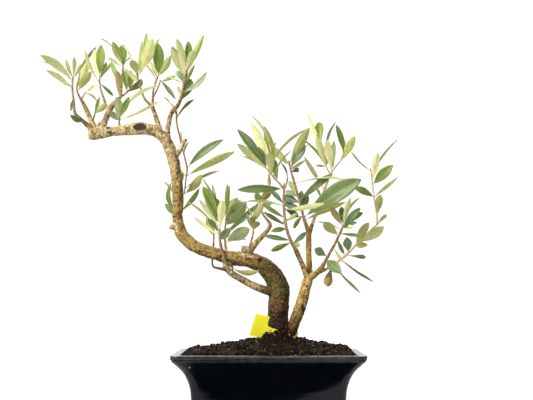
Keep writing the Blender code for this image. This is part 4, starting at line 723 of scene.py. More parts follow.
        (253.2, 223, 257.8, 202.5, -6, UPPER, 4.5, "dark"),
        (253.2, 222.5, 246.5, 206.5, -22, EDGE, 3, "olive"),
    )),
    Spray("spray_mid_top", 7, (
        (246.5, 257, -4, 3.8), (250.5, 250, -2, 3.4), (256, 243, 1, 2.8), (262.5, 236, 4, 2.4),
        (268, 229.7, 6, 2.1), (270.2, 225, 7, 1.9), (268.4, 221.2, 8, 1.6), (264.8, 217, 9, 1.2),
        (262, 212, 10, 1), (260.2, 206, 11, 0.9), (259.6, 200, 12, 0.8),
    ), (), (
        (259.9, 203, 256.5, 191.5, 6, UPPER, 7, "green"), (259.8, 202, 272, 191, 18, UNDER, 8, "brown"),
        (260.4, 207, 272.5, 202, 20, UNDER, 7, "pale"),
    )),
    Spray("stem_left", 4, (
        (308.5, 278, 0, 3.8), (303.8, 268, -3, 2.7), (300, 259.5, -6, 2.3), (297, 252.5, -8, 2.3),
        (294.2, 247.2, -10, 2), (290.6, 240.5, -12, 1.7), (287.6, 232, -15, 1.6), (285.6, 223.5, -18, 1.5),
        (284.2, 212, -20, 1.4), (283.6, 200, -22, 1.3), (284, 190, -24, 1.2), (284.2, 183, -25, 0.8),
    ), (
        ((284, 189, -24, 1.1), (279, 183, -28, 1), (274.5, 178.5, -30, 0.9), (270.5, 173.5, -31, 0.9),
         (266.5, 168.5, -31, 0.8)),
        ((284, 190, -24, 1), (286.4, 184, -20, 0.9), (287.6, 178, -17, 0.8)),
    ), (
        (267, 169, 237, 129, -36, UPPER, 9, "dark"), (267, 169.5, 237, 143.5, -44, UNDER, 7.5, "pale"),
        (268, 170.5, 238, 154.5, -26, EDGE, 4, "olive"), (267.2, 169, 258.3, 147, -24, UPPER, 5.5, "dark"),
        (272, 175.5, 269.2, 153.5, -48, UNDER, 8.5, "pale"),
        (270, 173, 250.5, 122, -28, UNDER, 8.5, "cream", 2.5),
        (271.5, 175, 263.5, 125, -20, UNDER, 9, "olive", 4),
        (269, 172, 269.5, 186.5, -40, UNDER, 3.5, "brown"), (278, 182, 274.5, 159, -16, UPPER, 6, "green"),
        (287.5, 178.5, 281, 163, -28, EDGE, 3, "deep"), (276, 180, 276.3, 141.5, -8, EDGE, 4, "dark"),
        (272.8, 176.5, 291.5, 150.5, -42, EDGE, 3, "fresh"),
        (269.5, 172.5, 250.5, 114.5, -10, EDGE, 3.5, "olive", 3),
        (268, 170.3, 309, 128.5, -38, EDGE, 4.5, "pale"), (283.9, 189, 237, 190, -38, UPPER, 8.5, "dark"),
        (283.8, 205, 245, 201.5, -32, EDGE, 4, "pale"), (283.6, 203, 270.5, 189.5, -14, UPPER, 5, "deep"),
        (284.9, 218, 262, 203.5, -26, UPPER, 4.5, "green"),
        (285.8, 225, 263.5, 212, -12, UPPER, 4.5, "deep"), (286.8, 229, 271, 231.5, -24, UPPER, 5.5, "moss"),
        (291, 241, 263.5, 235.5, -18, UPPER, 5, "dark"), (291.4, 242, 271, 251, -24, UNDER, 5.5, "moss"),
        (284, 209, 325, 203.5, -44, UNDER, 5.5, "pale"), (285.4, 222, 297, 213.5, -28, UNDER, 4, "fresh"),
        (283.9, 207, 298.5, 216.5, -8, UPPER, 6, "deep"), (292.6, 244.3, 300, 245.5, -18, UNDER, 5, "olive"),
        (292.4, 244, 306.5, 232, -6, UPPER, 5.5, "teal"),
    )),
    Spray("stem_centre", 6, (
        (309, 278, 0, 4), (309.2, 267, 3, 3.1), (308.6, 255, 6, 2.7), (308.6, 243, 8, 2.8),
        (308.6, 234, 8, 2.4), (306.4, 226, 6, 1.9), (303.8, 218, 4, 1.6), (300.5, 205, 2, 1.4),
        (297.2, 193, 0, 1.3), (293.6, 180, -2, 1.2), (290.8, 170, -3, 1.1), (288.8, 160.5, -3, 0.8),
    ), (), (
        (289.5, 164, 309.5, 127.5, -10, UNDER, 9, "olive"), (290.6, 168.5, 304.5, 143, 4, UPPER, 11, "teal"),
        (290, 166.5, 268.8, 144.5, 6, UNDER, 7.5, "olive"), (291.2, 171.5, 308, 145, 18, EDGE, 3.5, "fresh"),
        (290.8, 170, 306, 160, 18, UNDER, 3.5, "pale"), (291.5, 172.5, 299, 169.5, 12, UPPER, 5, "deep"),
        (298, 195.5, 289, 181, -10, UNDER, 5.5, "cream"), (298.6, 198, 285, 191, 12, UPPER, 6, "teal"),
        (302.6, 213, 307.5, 194, 8, UPPER, 7.5, "deep"), (299.5, 201.5, 333, 173.5, -8, UPPER, 8, "dark"),
        (303.6, 217.5, 361.5, 179.5, -30, UPPER, 20, "dark", 0, 0.6),
        (304, 220.5, 346, 202, -3, UNDER, 6, "olive"), (301.5, 209, 283.5, 203, 16, UPPER, 6.5, "deep"),
        (294.6, 184, 351, 181, -16, EDGE, 5, "pale", -1),
        (303.4, 216.5, 281.5, 224.5, 14, EDGE, 3.5, "olive"),
        (303, 214.5, 293.5, 228.5, -8, UNDER, 4.5, "moss"), (300, 203, 283, 196.5, 16, UPPER, 8.5, "deep"),
        (302, 211, 288, 209, 18, UPPER, 7, "dark"), (301, 207, 301.5, 190.5, 12, UPPER, 6, "deep"),
    )),
    Spray("stem_right", 2, (
        (308.8, 236, 9, 2.4), (311.2, 227.5, 12, 2), (313.6, 220.5, 14, 1.7), (316.5, 213, 16, 1.6),
        (319, 206.5, 17, 1.5), (322, 197, 17, 1.4), (325, 188, 16, 1.3), (328, 180.5, 14, 1.2),
        (331, 173, 11, 1), (336, 166, 7, 0.9), (341, 160, 4, 0.8), (344, 153, 2, 0.7),
    ), (
        ((330.4, 174.5, 11.5, 0.9), (327.6, 169.5, 12, 0.8), (325.6, 165, 13, 0.7)),
    ), (
        (325.8, 165.5, 317, 136.5, 0, UNDER, 7.5, "cream"),
        (325.7, 165.3, 307, 112.5, 20, UNDER, 5, "cream"),
        (325.7, 165.3, 319.3, 121.5, 28, UPPER, 9, "bright", -3, 0.8),
        (332.5, 171, 327, 139.5, -10, UNDER, 8.5, "cream"),
        (332.6, 170.8, 334.2, 140.5, 20, UPPER, 5.5, "green"), (326, 166, 330, 150, 19, UPPER, 4.5, "green"),
        (327, 168.5, 336.5, 121, 32, EDGE, 4, "olive"), (344, 153.5, 336, 124.5, -8, UPPER, 6.5, "moss"),
        (343.8, 154, 344, 139, 12, UPPER, 4, "dark"), (338, 163.5, 355, 136, -12, UNDER, 8, "fresh"),
        (326.3, 167, 315.5, 165.5, 20, UNDER, 2.5, "brown"),
        (324.5, 189.5, 304, 156.5, 2, UNDER, 4.5, "pale"),
        (325.9, 165.8, 302.5, 139.5, 12, EDGE, 4, "green"), (321.8, 198, 317, 188.5, 8, UNDER, 3, "olive"),
    )),
    Spray("stem_fork", 4, (
        (308.5, 279, -1, 3.6), (314, 275, -3, 2.9), (318.6, 270.8, -6, 2.5), (322.3, 266.3, -9, 2.1),
        (326, 260, -12, 1.6), (330, 252.5, -15, 1.5), (334, 245.5, -18, 1.4), (338, 237.5, -20, 1.3),
        (341.5, 230, -22, 1.2), (343.2, 224.5, -23, 0.9),
    ), (), (
        (343, 225.5, 330.5, 206.5, -28, UNDER, 6.5, "brown"),
        (343.1, 225, 341.5, 206.5, -12, UPPER, 6.5, "deep"),
        (343.1, 225, 350.5, 197.5, -32, UNDER, 5.5, "pale"),
        (343, 225.5, 360.2, 197.5, -10, EDGE, 3.5, "olive"),
        (342.9, 226, 360.5, 207.5, -32, UPPER, 7.5, "dark"),
        (342.8, 226.3, 363, 212.5, -18, UPPER, 6.5, "deep"),
        (342.6, 227, 357.5, 222.5, -38, UPPER, 5, "deep"),
        (342.5, 227.2, 352.5, 227, -44, UNDER, 4.5, "cream"),
        (338.8, 236, 323.5, 222.5, -30, UNDER, 9, "olive"),
        (341.5, 230, 316.5, 221.5, -16, EDGE, 3.5, "olive"), (339.8, 234, 362, 236, -14, UNDER, 3.5, "grey"),
        (333.2, 247, 343.5, 262.5, -30, UNDER, 3, "olive"),
        (337.4, 239, 344.5, 254.5, -10, UNDER, 4, "moss"),
        (327.6, 257, 314.5, 248.5, -28, UPPER, 8.5, "teal", 0, 0.72),
        (326.4, 259.3, 341.5, 273.5, -36, UPPER, 11, "dark"),
    )),
    Spray("stem_far", 2, (
        (317, 272.2, -5, 2.4), (322.5, 270.5, -3, 2), (327, 268.4, -1, 1.8), (332, 265.2, 1, 1.6),
        (338, 261.2, 3, 1.5), (344, 256.6, 5, 1.5), (350, 250.8, 7, 1.4), (357, 243.8, 9, 1.3),
        (365, 236, 12, 1.3), (372, 229.3, 15, 1.2), (378.5, 222.8, 17, 1.1),
    ), (
        ((376.8, 224.6, 16.5, 1.1), (377, 217, 19, 1), (375.5, 207, 21, 0.9), (373.6, 195, 23, 0.9),
         (372.3, 183, 25, 0.8), (371.3, 173, 26, 0.7), (370.3, 168, 26, 0.6)),
    ), (
        (331.5, 265.6, 327, 286.5, -12, UNDER, 9, "brown", 0, 0.66),
        (333.5, 264.3, 361, 293.5, -16, EDGE, 4, "olive", 3.5),
        (340.5, 259.4, 373.5, 282, 12, EDGE, 4, "brown", 3.5),
        (346, 255, 366, 257.2, 18, UPPER, 4.5, "teal", 0, 0.7),
        (348.5, 252.4, 347, 237, -4, UPPER, 9, "teal", 0, 0.62),
        (355.5, 245.3, 368.8, 222.5, -4, UNDER, 9, "olive"),
        (358, 243, 384, 226.5, -4, UNDER, 10, "pale", 2), (356, 245, 368, 245, 24, UNDER, 6.5, "fresh"),
        (376.8, 216, 380.3, 194.5, 8, UNDER, 8, "olive"), (377.8, 223.5, 387, 214.5, 6, UNDER, 4, "olive"),
        (373.9, 197, 398, 177, 36, UNDER, 4, "pale"), (374, 198, 353, 187, 10, UPPER, 7.5, "green"),
        (372.4, 184, 393, 165, 12, UPPER, 10.5, "green"), (372.1, 181, 378, 152.5, 6, UNDER, 7, "cream"),
        (371.7, 177, 398.3, 139, 42, EDGE, 3.5, "fresh", 1.5),
        (370.6, 170, 350.5, 151, 38, EDGE, 3.5, "moss", -3.5),
    )),
)
# Old pruning scars and dead buds: across, down, depth, how wide, deep and high the hollow is, and how dark.
SCARS = (
    (140.0, 127.0, -11.4, 7.4, 2.2, 3.8, 0.95), (260.5, 260.6, -12.0, 3.2, 1.8, 2.4, 0.75),
    (249.2, 258.9, -12.2, 4.2, 1.4, 1.3, 0.7), (128.5, 129.6, -11.7, 3.6, 0.9, 2.9, 0.45),
    (221.4, 256.4, -11.0, 1.7, 1.2, 1.5, 0.9), (108.3, 128.3, -10.5, 2.2, 1.2, 1.4, 0.9),
    (109.5, 132.3, -10.8, 2.6, 1.2, 1.3, 0.8), (177.6, 173.5, -4.6, 1.5, 0.8, 1.2, 0.6),
    (174.9, 217.0, -1.6, 1.9, 1.0, 1.5, 0.6), (307.0, 286.5, -7.0, 1.6, 1.0, 1.4, 0.7),
    (302.8, 308.6, -8.0, 1.9, 0.7, 5.0, 0.85), (303.5, 297.5, -8.0, 1.6, 0.6, 2.6, 0.5),
    (309.0, 271.5, -3.5, 2.6, 0.6, 2.6, 0.7),
)


def smooth_route(points, spacing):
    """Points read about every spacing millimetres from a smooth curve through the route's own points."""
    ends = [points[0], *points, points[-1]]
    read = []
    for before, start, end, after in zip(ends, ends[1:], ends[2:], ends[3:]):
        p0, p1, p2, p3 = (Vector(p) for p in (before, start, end, after))
        steps = max(1, round((p2 - p1).length / spacing))
        for i in range(steps):
            t = i / steps
            read.append(0.5 * (2 * p1 + (p2 - p0) * t + (2 * p0 - 5 * p1 + 4 * p2 - p3) * t * t
                               + (3 * p1 - p0 - 3 * p2 + p3) * t ** 3))
    read.append(Vector(points[-1]))
    return read


def part_of(spray, overlap):
    """A shoot's route in two parts that share so many points: the wood's and the leafy stem's."""
    points = smooth_route(spray.route, BRANCH_STEP)
    seat = Vector(spray.route[spray.woody - 1])
    at = points.index(min(points, key=lambda p: (p - seat).length))
    return points[:at + 3], points[at + 3 - overlap:]


def colour_along(zones, share):
    """The bark's colour at a share of a limb's length."""
    for (start, near), (end, far) in zip(zones, zones[1:]):
        if share <= end:
            mix = (share - start) / (end - start)
            return [a + (b - a) * mix for a, b in zip(near, far)]
    return list(zones[-1][1])


def bark_of(spray):
    """The bark's colours along the woody start of a shoot."""
    if spray.name == "spray_low_left":
        return (0, OLIVE), (1, OLIVE)
    tone = GOLD if spray.name.startswith("stem_") else BEIGE
    start = OLIVE if spray.name == "spray_low_pale" else tone
    return (0, start), (0.15, start), (0.3, tone), (1, TWIG_BROWN)


def limbs_of_wood():
    """Every limb of the wood: its fine route and its bark's colour zones."""
    limbs = [(smooth_route(MAIN_TRUNK, TRUNK_STEP), TRUNK_BARK),
             (smooth_route(SECOND_TRUNK, TRUNK_STEP), SECOND_BARK)]
    limbs += [(part_of(spray, 0)[0], bark_of(spray)) for spray in SPRAYS]
    limbs += [(smooth_route(stub, BRANCH_STEP), ((0, TAN), (0.3, BEIGE), (1, DEAD_WOOD))) for stub in STUBS]
    return limbs


def tubes(limbs, name):
    """One closed tube along each limb, as a single mesh object."""
    curve = bpy.data.curves.new("limbs", "CURVE")
    curve.dimensions = "3D"
    curve.bevel_depth = MM
    curve.bevel_resolution = 5
    curve.use_fill_caps = True
    for route, *_ in limbs:
        spline = curve.splines.new("POLY")
        spline.points.add(len(route) - 1)
        for point, (across, down, depth, radius) in zip(spline.points, route):
            point.co = (*place(across, down, depth), 1.0)
            point.radius = radius
    guide = new_object("limbs", curve)
    evaluated = guide.evaluated_get(bpy.context.evaluated_depsgraph_get())
    bm = bmesh.new()
    bm.from_mesh(bpy.data.meshes.new_from_object(evaluated))
    bpy.data.objects.remove(guide)
    bmesh.ops.remove_doubles(bm, verts=bm.verts, dist=0.001 * MM)
    bmesh.ops.recalc_face_normals(bm, faces=bm.faces)
    return object_of(bm, name)


def one_skin(obj, voxel):
    """The object's overlapping bodies grown into one, with one even skin."""
    remesh = obj.modifiers.new("one_skin", "REMESH")
    remesh.mode = "VOXEL"
    remesh.voxel_size = voxel * MM
    remesh.use_smooth_shade = True
    return plain_mesh(obj)


def scar_depth(scars, co, normal):
    """How far a point of the bark sinks into an old scar, how far its rim swells and how dark it is."""
    sink, swell, dark = 0.0, 0.0, 0.0
    for centre, wide, deep, high, stain in scars:
        if abs(co.x - centre.x) > 2 * wide or abs(co.z - centre.z) > 2 * high or normal.y > 0:
            continue
        reach = math.hypot((co.x - centre.x) / wide, (co.z - centre.z) / high)
        if reach < 1:
            sink += deep * (1 - reach * reach) ** 1.5
            dark = max(dark, stain * min(1.0, 2.6 * (1 - reach * reach)))
        swell += SCAR_RIM_RISE * deep * math.exp(-((reach - SCAR_RIM) / SCAR_RIM_WIDTH) ** 2)
    return sink, swell, dark


def store_on_points(mesh, name, kind, values):
    """Keeps a number, vector or colour for each point of a mesh, under a name."""
    key = {"FLOAT": "value", "FLOAT_VECTOR": "vector", "FLOAT_COLOR": "color"}[kind]
    mesh.attributes.new(name, kind, "POINT").data.foreach_set(key, np.array(values, float).ravel())


def carve_bark(wood, limbs):
    """Carves lumps, flakes, creases and scars; keeps each point's colour, hollow and painted shade as
    attributes.
    """
    scars = [(place(*spot), wide * MM, deep * MM, high * MM, stain)
             for *spot, wide, deep, high, stain in SCARS]
    centres = [(place(*p[:3]), p[3], colour_along(zones, i / (len(route) - 1)))
               for route, zones in limbs for i, p in enumerate(route)]
    lookup = KDTree(len(centres))
    for i, (spot, _, _) in enumerate(centres):
        lookup.insert(spot, i)
    lookup.balance()
    moved, tones, hollow_and_shade_values, stains = [], [], [], []
    for vertex in wood.data.vertices:
        co, normal = vertex.co.copy(), vertex.normal
        ragged = Vector((0, 0, RAGGED_REACH * noise.noise(co / (RAGGED_GRAIN * MM)))) * MM
        near = lookup.find_n(co + ragged, 4)
        weights = [1 / max(0.2 * MM, distance - centres[at][1] * MM * 0.8) ** 2 for _, at, distance in near]
        tones.append([sum(w * centres[at][2][k] for w, (_, at, _) in zip(weights, near)) / sum(weights)
                      for k in range(4)])
        size = min(1.0, centres[near[0][1]][1] / 6)
        lumps = noise.noise(co / (LUMP_GRAIN * MM))
        flakes = noise.noise(co / (FLAKE_GRAIN * MM) + Vector((5, 1, 8)))
        crease = max(0.0, 1 - abs(noise.noise(Vector((co.x / 2.6, co.y / 2.6, co.z / 4.6)) / MM)) / 0.10)
        sink, swell, dark = scar_depth(scars, co, normal)
        step = size * (BARK_SWELL + LUMP_RISE * lumps + FLAKE_RISE * flakes - CREASE_DEPTH * crease) * MM
        moved.append(co + normal * (step + swell) + Vector((0, 1, 0)) * sink)
        # Painted shade: undersides and right-hand sides count as hollow, so the bark is painted darker there.
        painted_side_shade = 0.4 * max(0.0, -normal.z) + 0.35 * max(0.0, normal.x)
        hollow_and_shade_values.append(0.36 - 0.6 * flakes - 0.35 * lumps + 0.45 * crease + painted_side_shade)
        stains.append(dark)
    wood.data.vertices.foreach_set("co", np.array(moved, float).ravel())
    store_on_points(wood.data, "bark_colour", "FLOAT_COLOR", tones)
    store_on_points(wood.data, "bark_hollow_and_shade", "FLOAT", hollow_and_shade_values)
    store_on_points(wood.data, "bark_scar", "FLOAT", stains)
    wood.data.update()


def read_attribute(tree, name, output="Fac"):
    return node_of(tree, "ShaderNodeAttribute", attribute_name=name).outputs[output]


def tinted(tree, tone, tint):
    return blend(tree, 1.0, tone, tint, "MULTIPLY")


def bark_material():
    made, tree, shader = new_material("olive_bark")
    tone = read_attribute(tree, "bark_colour", "Color")
    hollow_and_shade = read_attribute(tree, "bark_hollow_and_shade")
    blotch, speck = grain(tree, 3.4, 4.0), grain(tree, 1.2, 3.0)
    olive = blend(tree, from_to(tree, blotch, 0.40, 0.60, 0.62, 0.0), tone,
                  tinted(tree, tone, linear(150, 138, 92)))
    # Darker in the bark's low places and creases, and painted shade on its undersides and right-hand sides.
    creased_and_shaded = blend(tree, from_to(tree, hollow_and_shade, 0.45, 1.0, 0.0, 0.85), olive,
                    tinted(tree, tone, linear(92, 74, 54)))
    flecked = blend(tree, from_to(tree, speck, 0.55, 0.66, 0.0, 0.65), creased_and_shaded,
                    blend(tree, 0.30, tone, linear(240, 206, 150)))
    # Dark pits, shown more where the bark lies low and in the painted shade.
    pits = times(tree, from_to(tree, speck, 0.37, 0.46, 0.95, 0.0),
                 from_to(tree, hollow_and_shade, 0.15, 0.6, 0.35, 1.0))
    pitted_and_shaded = blend(tree, pits, flecked, tinted(tree, tone, linear(132, 112, 84)))
    fill(tree, shader, {
        "Base Color": blend(tree, read_attribute(tree, "bark_scar"), pitted_and_shaded, linear(50, 40, 33)),
        "Roughness": from_to(tree, blotch, 0.3, 0.7, 0.62, 0.85), "Specular IOR Level": 0.25,
        "Normal": bump(tree, grain(tree, 1.1, 4.0), 0.5, 0.35)})
    return made


limbs = limbs_of_wood()
wood = one_skin(tubes(limbs, "olive_wood_grown"), BARK_VOXEL)
settle = wood.modifiers.new("settle", "SMOOTH")
settle.factor = 0.5
settle.iterations = 3
plain_mesh(wood)
carve_bark(wood, limbs)
wood.data.materials.clear()
wood.data.materials.append(bark_material())
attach(wood, "root")
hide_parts("olive_wood")

# The leafy shoots: slender young stems with leathery olive leaves, dark and smooth above, pale with fine
# silvery scales below, folded a little along a sunken midrib. Each shoot is one grown piece on the end of
# its branch.
TONES = {
    "dark": linear(114, 136, 78), "deep": linear(78, 104, 64), "moss": linear(120, 146, 56),
    "green": linear(132, 156, 68), "bright": linear(162, 186, 80), "fresh": linear(198, 208, 110),
    "teal": linear(126, 154, 110), "grey": linear(158, 170, 124), "olive": linear(180, 184, 110),
    "pale": linear(208, 210, 142), "cream": linear(252, 250, 184), "brown": linear(164, 146, 86),
}
TOP_OF_PALE, BACK_OF_DARK = TONES["dark"], TONES["pale"]
ROLL_LIMIT, EDGE_ROLL = 16, 17         # how far leaves are rolled at random, and at least when edge on
LEAST_BOW, MOST_BOW = 0.04, 0.09
PALE_STEMS = {"stem_far": 0.9, "stem_right": 0.7, "stem_left": 0.35, "stem_centre": 0.35}
LEAF_STALK, LEAF_THICK, LEAF_RIB = 0.45, 0.3, 0.25
STALK_END, STALK_TAPER = 0.09, 3.2
BLADE_POWER, RIB_TAPER = 0.73, 3.0
RIPPLE_TURN, RIPPLE_SHIFT = 9.0, 4000.0
TWIG_OVERLAP = 2
EDGE_BREADTH = 1.7


def nearest(points, across, down):
    """The centre of the stem nearest to a place of the view."""
    return min(points, key=lambda p: (p[0] - across) ** 2 + (p[1] - down) ** 2)


def leaf_facts(leaf, stems, luck):
    """What a leaf's shape needs: where it grows, how it runs, faces, bows and bends, and how it is toned."""
    root = place(*nearest(stems, leaf.root_across, leaf.root_down)[:3])
    run = place(leaf.across, leaf.down, leaf.depth) - root
    along = run.normalized()
    edge_on = leaf.face == EDGE
    facing = {UPPER: Vector((0, -1, 0.1)), UNDER: Vector((0, 1, 0.1)),
              EDGE: Vector((-along.z, 0, along.x)) * (1 if along.x > 0 else -1)}[leaf.face]
    up = (facing - along * facing.dot(along)).normalized()
    roll = luck.uniform(-ROLL_LIMIT, ROLL_LIMIT)
    roll = math.copysign(max(abs(roll), EDGE_ROLL), roll) if edge_on else roll
    up.rotate(Matrix.Rotation(math.radians(roll), 3, along))
    shown = TONES[leaf.tone]
    return {
        "leaf_root": root, "leaf_run": run, "leaf_up": up, "leaf_side": along.cross(up),
        "leaf_bow": run.length * luck.uniform(LEAST_BOW, MOST_BOW),
        "leaf_bend": Vector((along.z, 0, -along.x)).normalized() * leaf.bend * MM,
        "leaf_half": leaf.width / 2 * MM * (EDGE_BREADTH if edge_on else 1),
        "leaf_warp": math.log(0.5) / math.log(leaf.broadest),
        "leaf_upper": TOP_OF_PALE if leaf.face == UNDER else shown,
        "leaf_under": BACK_OF_DARK if leaf.face == UPPER else shown,
    }


def shoot_lines(spray, luck):
    """The shoot as a mesh of points: its stems as lines with a thickness, and a loose point for each leaf."""
    lines = [part_of(spray, TWIG_OVERLAP)[1]] + [smooth_route(twig, BRANCH_STEP) for twig in spray.twigs]
    stems = [point for line in lines for point in line]
    leaves = [leaf_facts(Leaf(*row), stems, luck) for row in spray.leaves]
    spots, edges = [], []
    for line in lines:
        first = len(spots)
        spots += [place(*point[:3]) for point in line]
        edges += [(i, i + 1) for i in range(first, len(spots) - 1)]
    spots += [leaf["leaf_root"] for leaf in leaves]
    mesh = bpy.data.meshes.new(spray.name)
    mesh.from_pydata(spots, edges, [])

    def store(kind, blank, *names):
        for name in names:
            values = [blank] * len(stems) + [leaf[name] for leaf in leaves]
            store_on_points(mesh, name, kind, values)

    store("FLOAT_VECTOR", (0, 0, 0), "leaf_root", "leaf_run", "leaf_up", "leaf_side", "leaf_bend")
    store("FLOAT", 0.0, "leaf_bow", "leaf_half", "leaf_warp")
    store("FLOAT_COLOR", (0, 0, 0, 1), "leaf_upper", "leaf_under")
    store_on_points(mesh, "is_leaf", "FLOAT", [0.0] * len(stems) + [1.0] * len(leaves))
    store_on_points(mesh, "twig_radius", "FLOAT", [point.w * MM for point in stems] + [0.0] * len(leaves))
    store_on_points(mesh, "pale_stem", "FLOAT", [PALE_STEMS.get(spray.name, 0.0)] * len(spots))
    return new_object(spray.name + "_grown", mesh)


def vector_calc(tree, operation, first, second):
    """The result of a Vector Math node; a scale is given as the second value."""
    inputs = {0: first, "Scale" if operation == "SCALE" else 1: second}
    return node_of(tree, "ShaderNodeVectorMath", inputs, operation=operation).outputs["Vector"]


def stored(tree, name, kind="FLOAT"):
    """Reads a named attribute in geometry nodes."""
    node = node_of(tree, "GeometryNodeInputNamedAttribute", {"Name": name}, data_type=kind)
    return node.outputs["Attribute"]


def keep(tree, geometry, name, value, domain="POINT"):
    """Stores a number on each point or instance, under a name."""
    inputs = {"Geometry": geometry, "Name": name, "Value": value}
    node = node_of(tree, "GeometryNodeStoreNamedAttribute", inputs, data_type="FLOAT", domain=domain)
    return node.outputs[0]


def leaf_shape(tree, given):
    """Where each point of a flattened tube goes to make its leaf."""
    share, across, over = (stored(tree, "leaf_" + name) for name in ("share", "across", "over"))
    run, up, side, bend, root = (stored(tree, "leaf_" + name, "FLOAT_VECTOR")
                                 for name in ("run", "up", "side", "bend", "root"))
    bow = stored(tree, "leaf_bow")
    blade = calc(tree, "DIVIDE", minus(tree, share, STALK_END), 1 - STALK_END, clamp=True)
    warped = calc(tree, "POWER", blade, stored(tree, "leaf_warp"))
    fullness = calc(tree, "POWER", calc(tree, "SINE", times(tree, warped, math.pi)), BLADE_POWER)
    stalk = times(tree, given["Stalk"], minus(tree, 1.0, times(tree, share, STALK_TAPER), clamp=True))
    half = times(tree, stored(tree, "leaf_half"), fullness)
    body = times(tree, given["Thickness"], calc(tree, "POWER", fullness, 0.5))
    off_rib = calc(tree, "ABSOLUTE", across)
    fold = times(tree, off_rib, given["Fold"])
    curl = times(tree, calc(tree, "POWER", off_rib, 4.0), given["Edge Curl"])
    ripple = calc(tree, "SINE", plus(tree, times(tree, share, RIPPLE_TURN), times(tree, bow, RIPPLE_SHIFT)))
    wave = times(tree, times(tree, across, given["Wave"]), ripple)
    section = times(tree, half, plus(tree, minus(tree, fold, curl), wave))
    rib = times(tree, minus(tree, 1.0, times(tree, off_rib, RIB_TAPER), clamp=True),
                times(tree, given["Midrib"], fullness))
    lift = plus(tree, minus(tree, section, rib), times(tree, over, plus(tree, body, stalk)))
    arch = times(tree, times(tree, share, minus(tree, 1.0, share)), 4.0)
    on_line = vector_calc(tree, "ADD", root, vector_calc(tree, "SCALE", run, share))
    bowed = vector_calc(tree, "SCALE", up, plus(tree, lift, times(tree, arch, bow)))
    bent = vector_calc(tree, "SCALE", bend, arch)
    spread = vector_calc(tree, "SCALE", side, times(tree, across, plus(tree, half, stalk)))
    along, beside = vector_calc(tree, "ADD", on_line, bowed), vector_calc(tree, "ADD", bent, spread)
    return vector_calc(tree, "ADD", along, beside)


def shoot_tree():
    """Geometry nodes: a tube round each stem, and a leaf on each loose point."""
    tree, given, result = new_tree(
        "leafy_shoot", "Geometry", Geometry=("Shoot",),
        Float=("Stalk", "Thickness", "Fold", "Edge Curl", "Wave", "Midrib"),
        Int=("Stations", "Around", "Twig Sides"), Material=("Leaf", "Bark"))
    pattern = node_of(tree, "GeometryNodeMeshCylinder", {
        "Vertices": given["Around"], "Side Segments": given["Stations"], "Radius": 1.0, "Depth": 1.0,
    }, fill_type="TRIANGLE_FAN").outputs["Mesh"]
    spot = node_of(tree, "GeometryNodeInputPosition").outputs[0]
    where = node_of(tree, "ShaderNodeSeparateXYZ", {0: spot}).outputs
    for name, value in (("share", plus(tree, where["Z"], 0.5)), ("across", where["X"]), ("over", where["Y"])):
        pattern = keep(tree, pattern, "leaf_" + name, value)
    blades = node_of(tree, "GeometryNodeInstanceOnPoints", {
        "Points": given["Shoot"], "Instance": pattern,
        "Selection": calc(tree, "GREATER_THAN", stored(tree, "is_leaf"), 0.5)})
    whole = node_of(tree, "GeometryNodeRealizeInstances", {0: blades.outputs[0]})
    shaped = node_of(tree, "GeometryNodeSetPosition", {
        "Geometry": whole.outputs[0], "Position": leaf_shape(tree, given)})
    closed = node_of(tree, "GeometryNodeMergeByDistance", {0: shaped.outputs[0], "Distance": 0.02 * MM})
    outwards = node_of(tree, "GeometryNodeFlipFaces", {0: closed.outputs[0]})

    line = node_of(tree, "GeometryNodeMeshToCurve", {"Mesh": given["Shoot"]})
    ring = node_of(tree, "GeometryNodeCurvePrimitiveCircle", {
        "Radius": 1.0, "Resolution": given["Twig Sides"]})
    stems = node_of(tree, "GeometryNodeCurveToMesh", {
        "Curve": line.outputs[0], "Scale": stored(tree, "twig_radius"), "Profile Curve": ring.outputs[0],
        "Fill Caps": True})
    both = node_of(tree, "GeometryNodeJoinGeometry")
    for shape, finish in ((stems, "Bark"), (outwards, "Leaf")):
        feed(tree, both.inputs[0], dressed(tree, shape, given[finish]).outputs[0])
    feed(tree, result, node_of(tree, "GeometryNodeSetShadeSmooth", {0: both.outputs[0]}).outputs[0])
    return tree


def leaf_material():
    made, tree, shader = new_material("olive_leaf")
    share, across, over = (read_attribute(tree, name) for name in ("leaf_share", "leaf_across", "leaf_over"))
    upper, under = (read_attribute(tree, name, "Color") for name in ("leaf_upper", "leaf_under"))
    tone = blend(tree, calc(tree, "GREATER_THAN", over, 0.0), under, upper)
    off_rib = calc(tree, "ABSOLUTE", across)
    vein = calc(tree, "SINE", minus(tree, times(tree, share, 95.0), times(tree, off_rib, 11.0)))
    veined = blend(tree, from_to(tree, vein, 0.2, 1.0, 0.0, 0.07), tone,
                   blend(tree, 0.5, tone, linear(226, 226, 170)))
    clouded = blend(tree, from_to(tree, grain(tree, 5.0), 0.35, 0.7, 0.0, 0.30), veined,
                    tinted(tree, tone, linear(190, 190, 168)))
    half_lit = blend(tree, times(tree, calc(tree, "GREATER_THAN", across, 0.0), 0.26), clouded,
                     blend(tree, 0.5, tone, linear(60, 78, 40)))
    ribbed = blend(tree, from_to(tree, off_rib, 0.04, 0.12, 0.34, 0.0), half_lit,
                   blend(tree, 0.55, tone, linear(218, 214, 140)))
    rimmed = blend(tree, from_to(tree, off_rib, 0.86, 1.0, 0.0, 0.45), ribbed,
                   blend(tree, 0.5, tone, linear(206, 204, 130)))
    stalked = blend(tree, from_to(tree, share, 0.04, 0.13, 0.9, 0.0), rimmed, linear(190, 176, 96))
    ridges = plus(tree, from_to(tree, off_rib, 0.0, 0.12, 1.0, 0.0), times(tree, vein, 0.05))
    fill(tree, shader, {
        "Base Color": blend(tree, from_to(tree, share, 0.965, 1.0, 0.0, 0.6), stalked, linear(126, 104, 52)),
        "Roughness": from_to(tree, over, -0.05, 0.05, 0.72, 0.42), "Normal": bump(tree, ridges, 0.15, 0.15)})
    return made


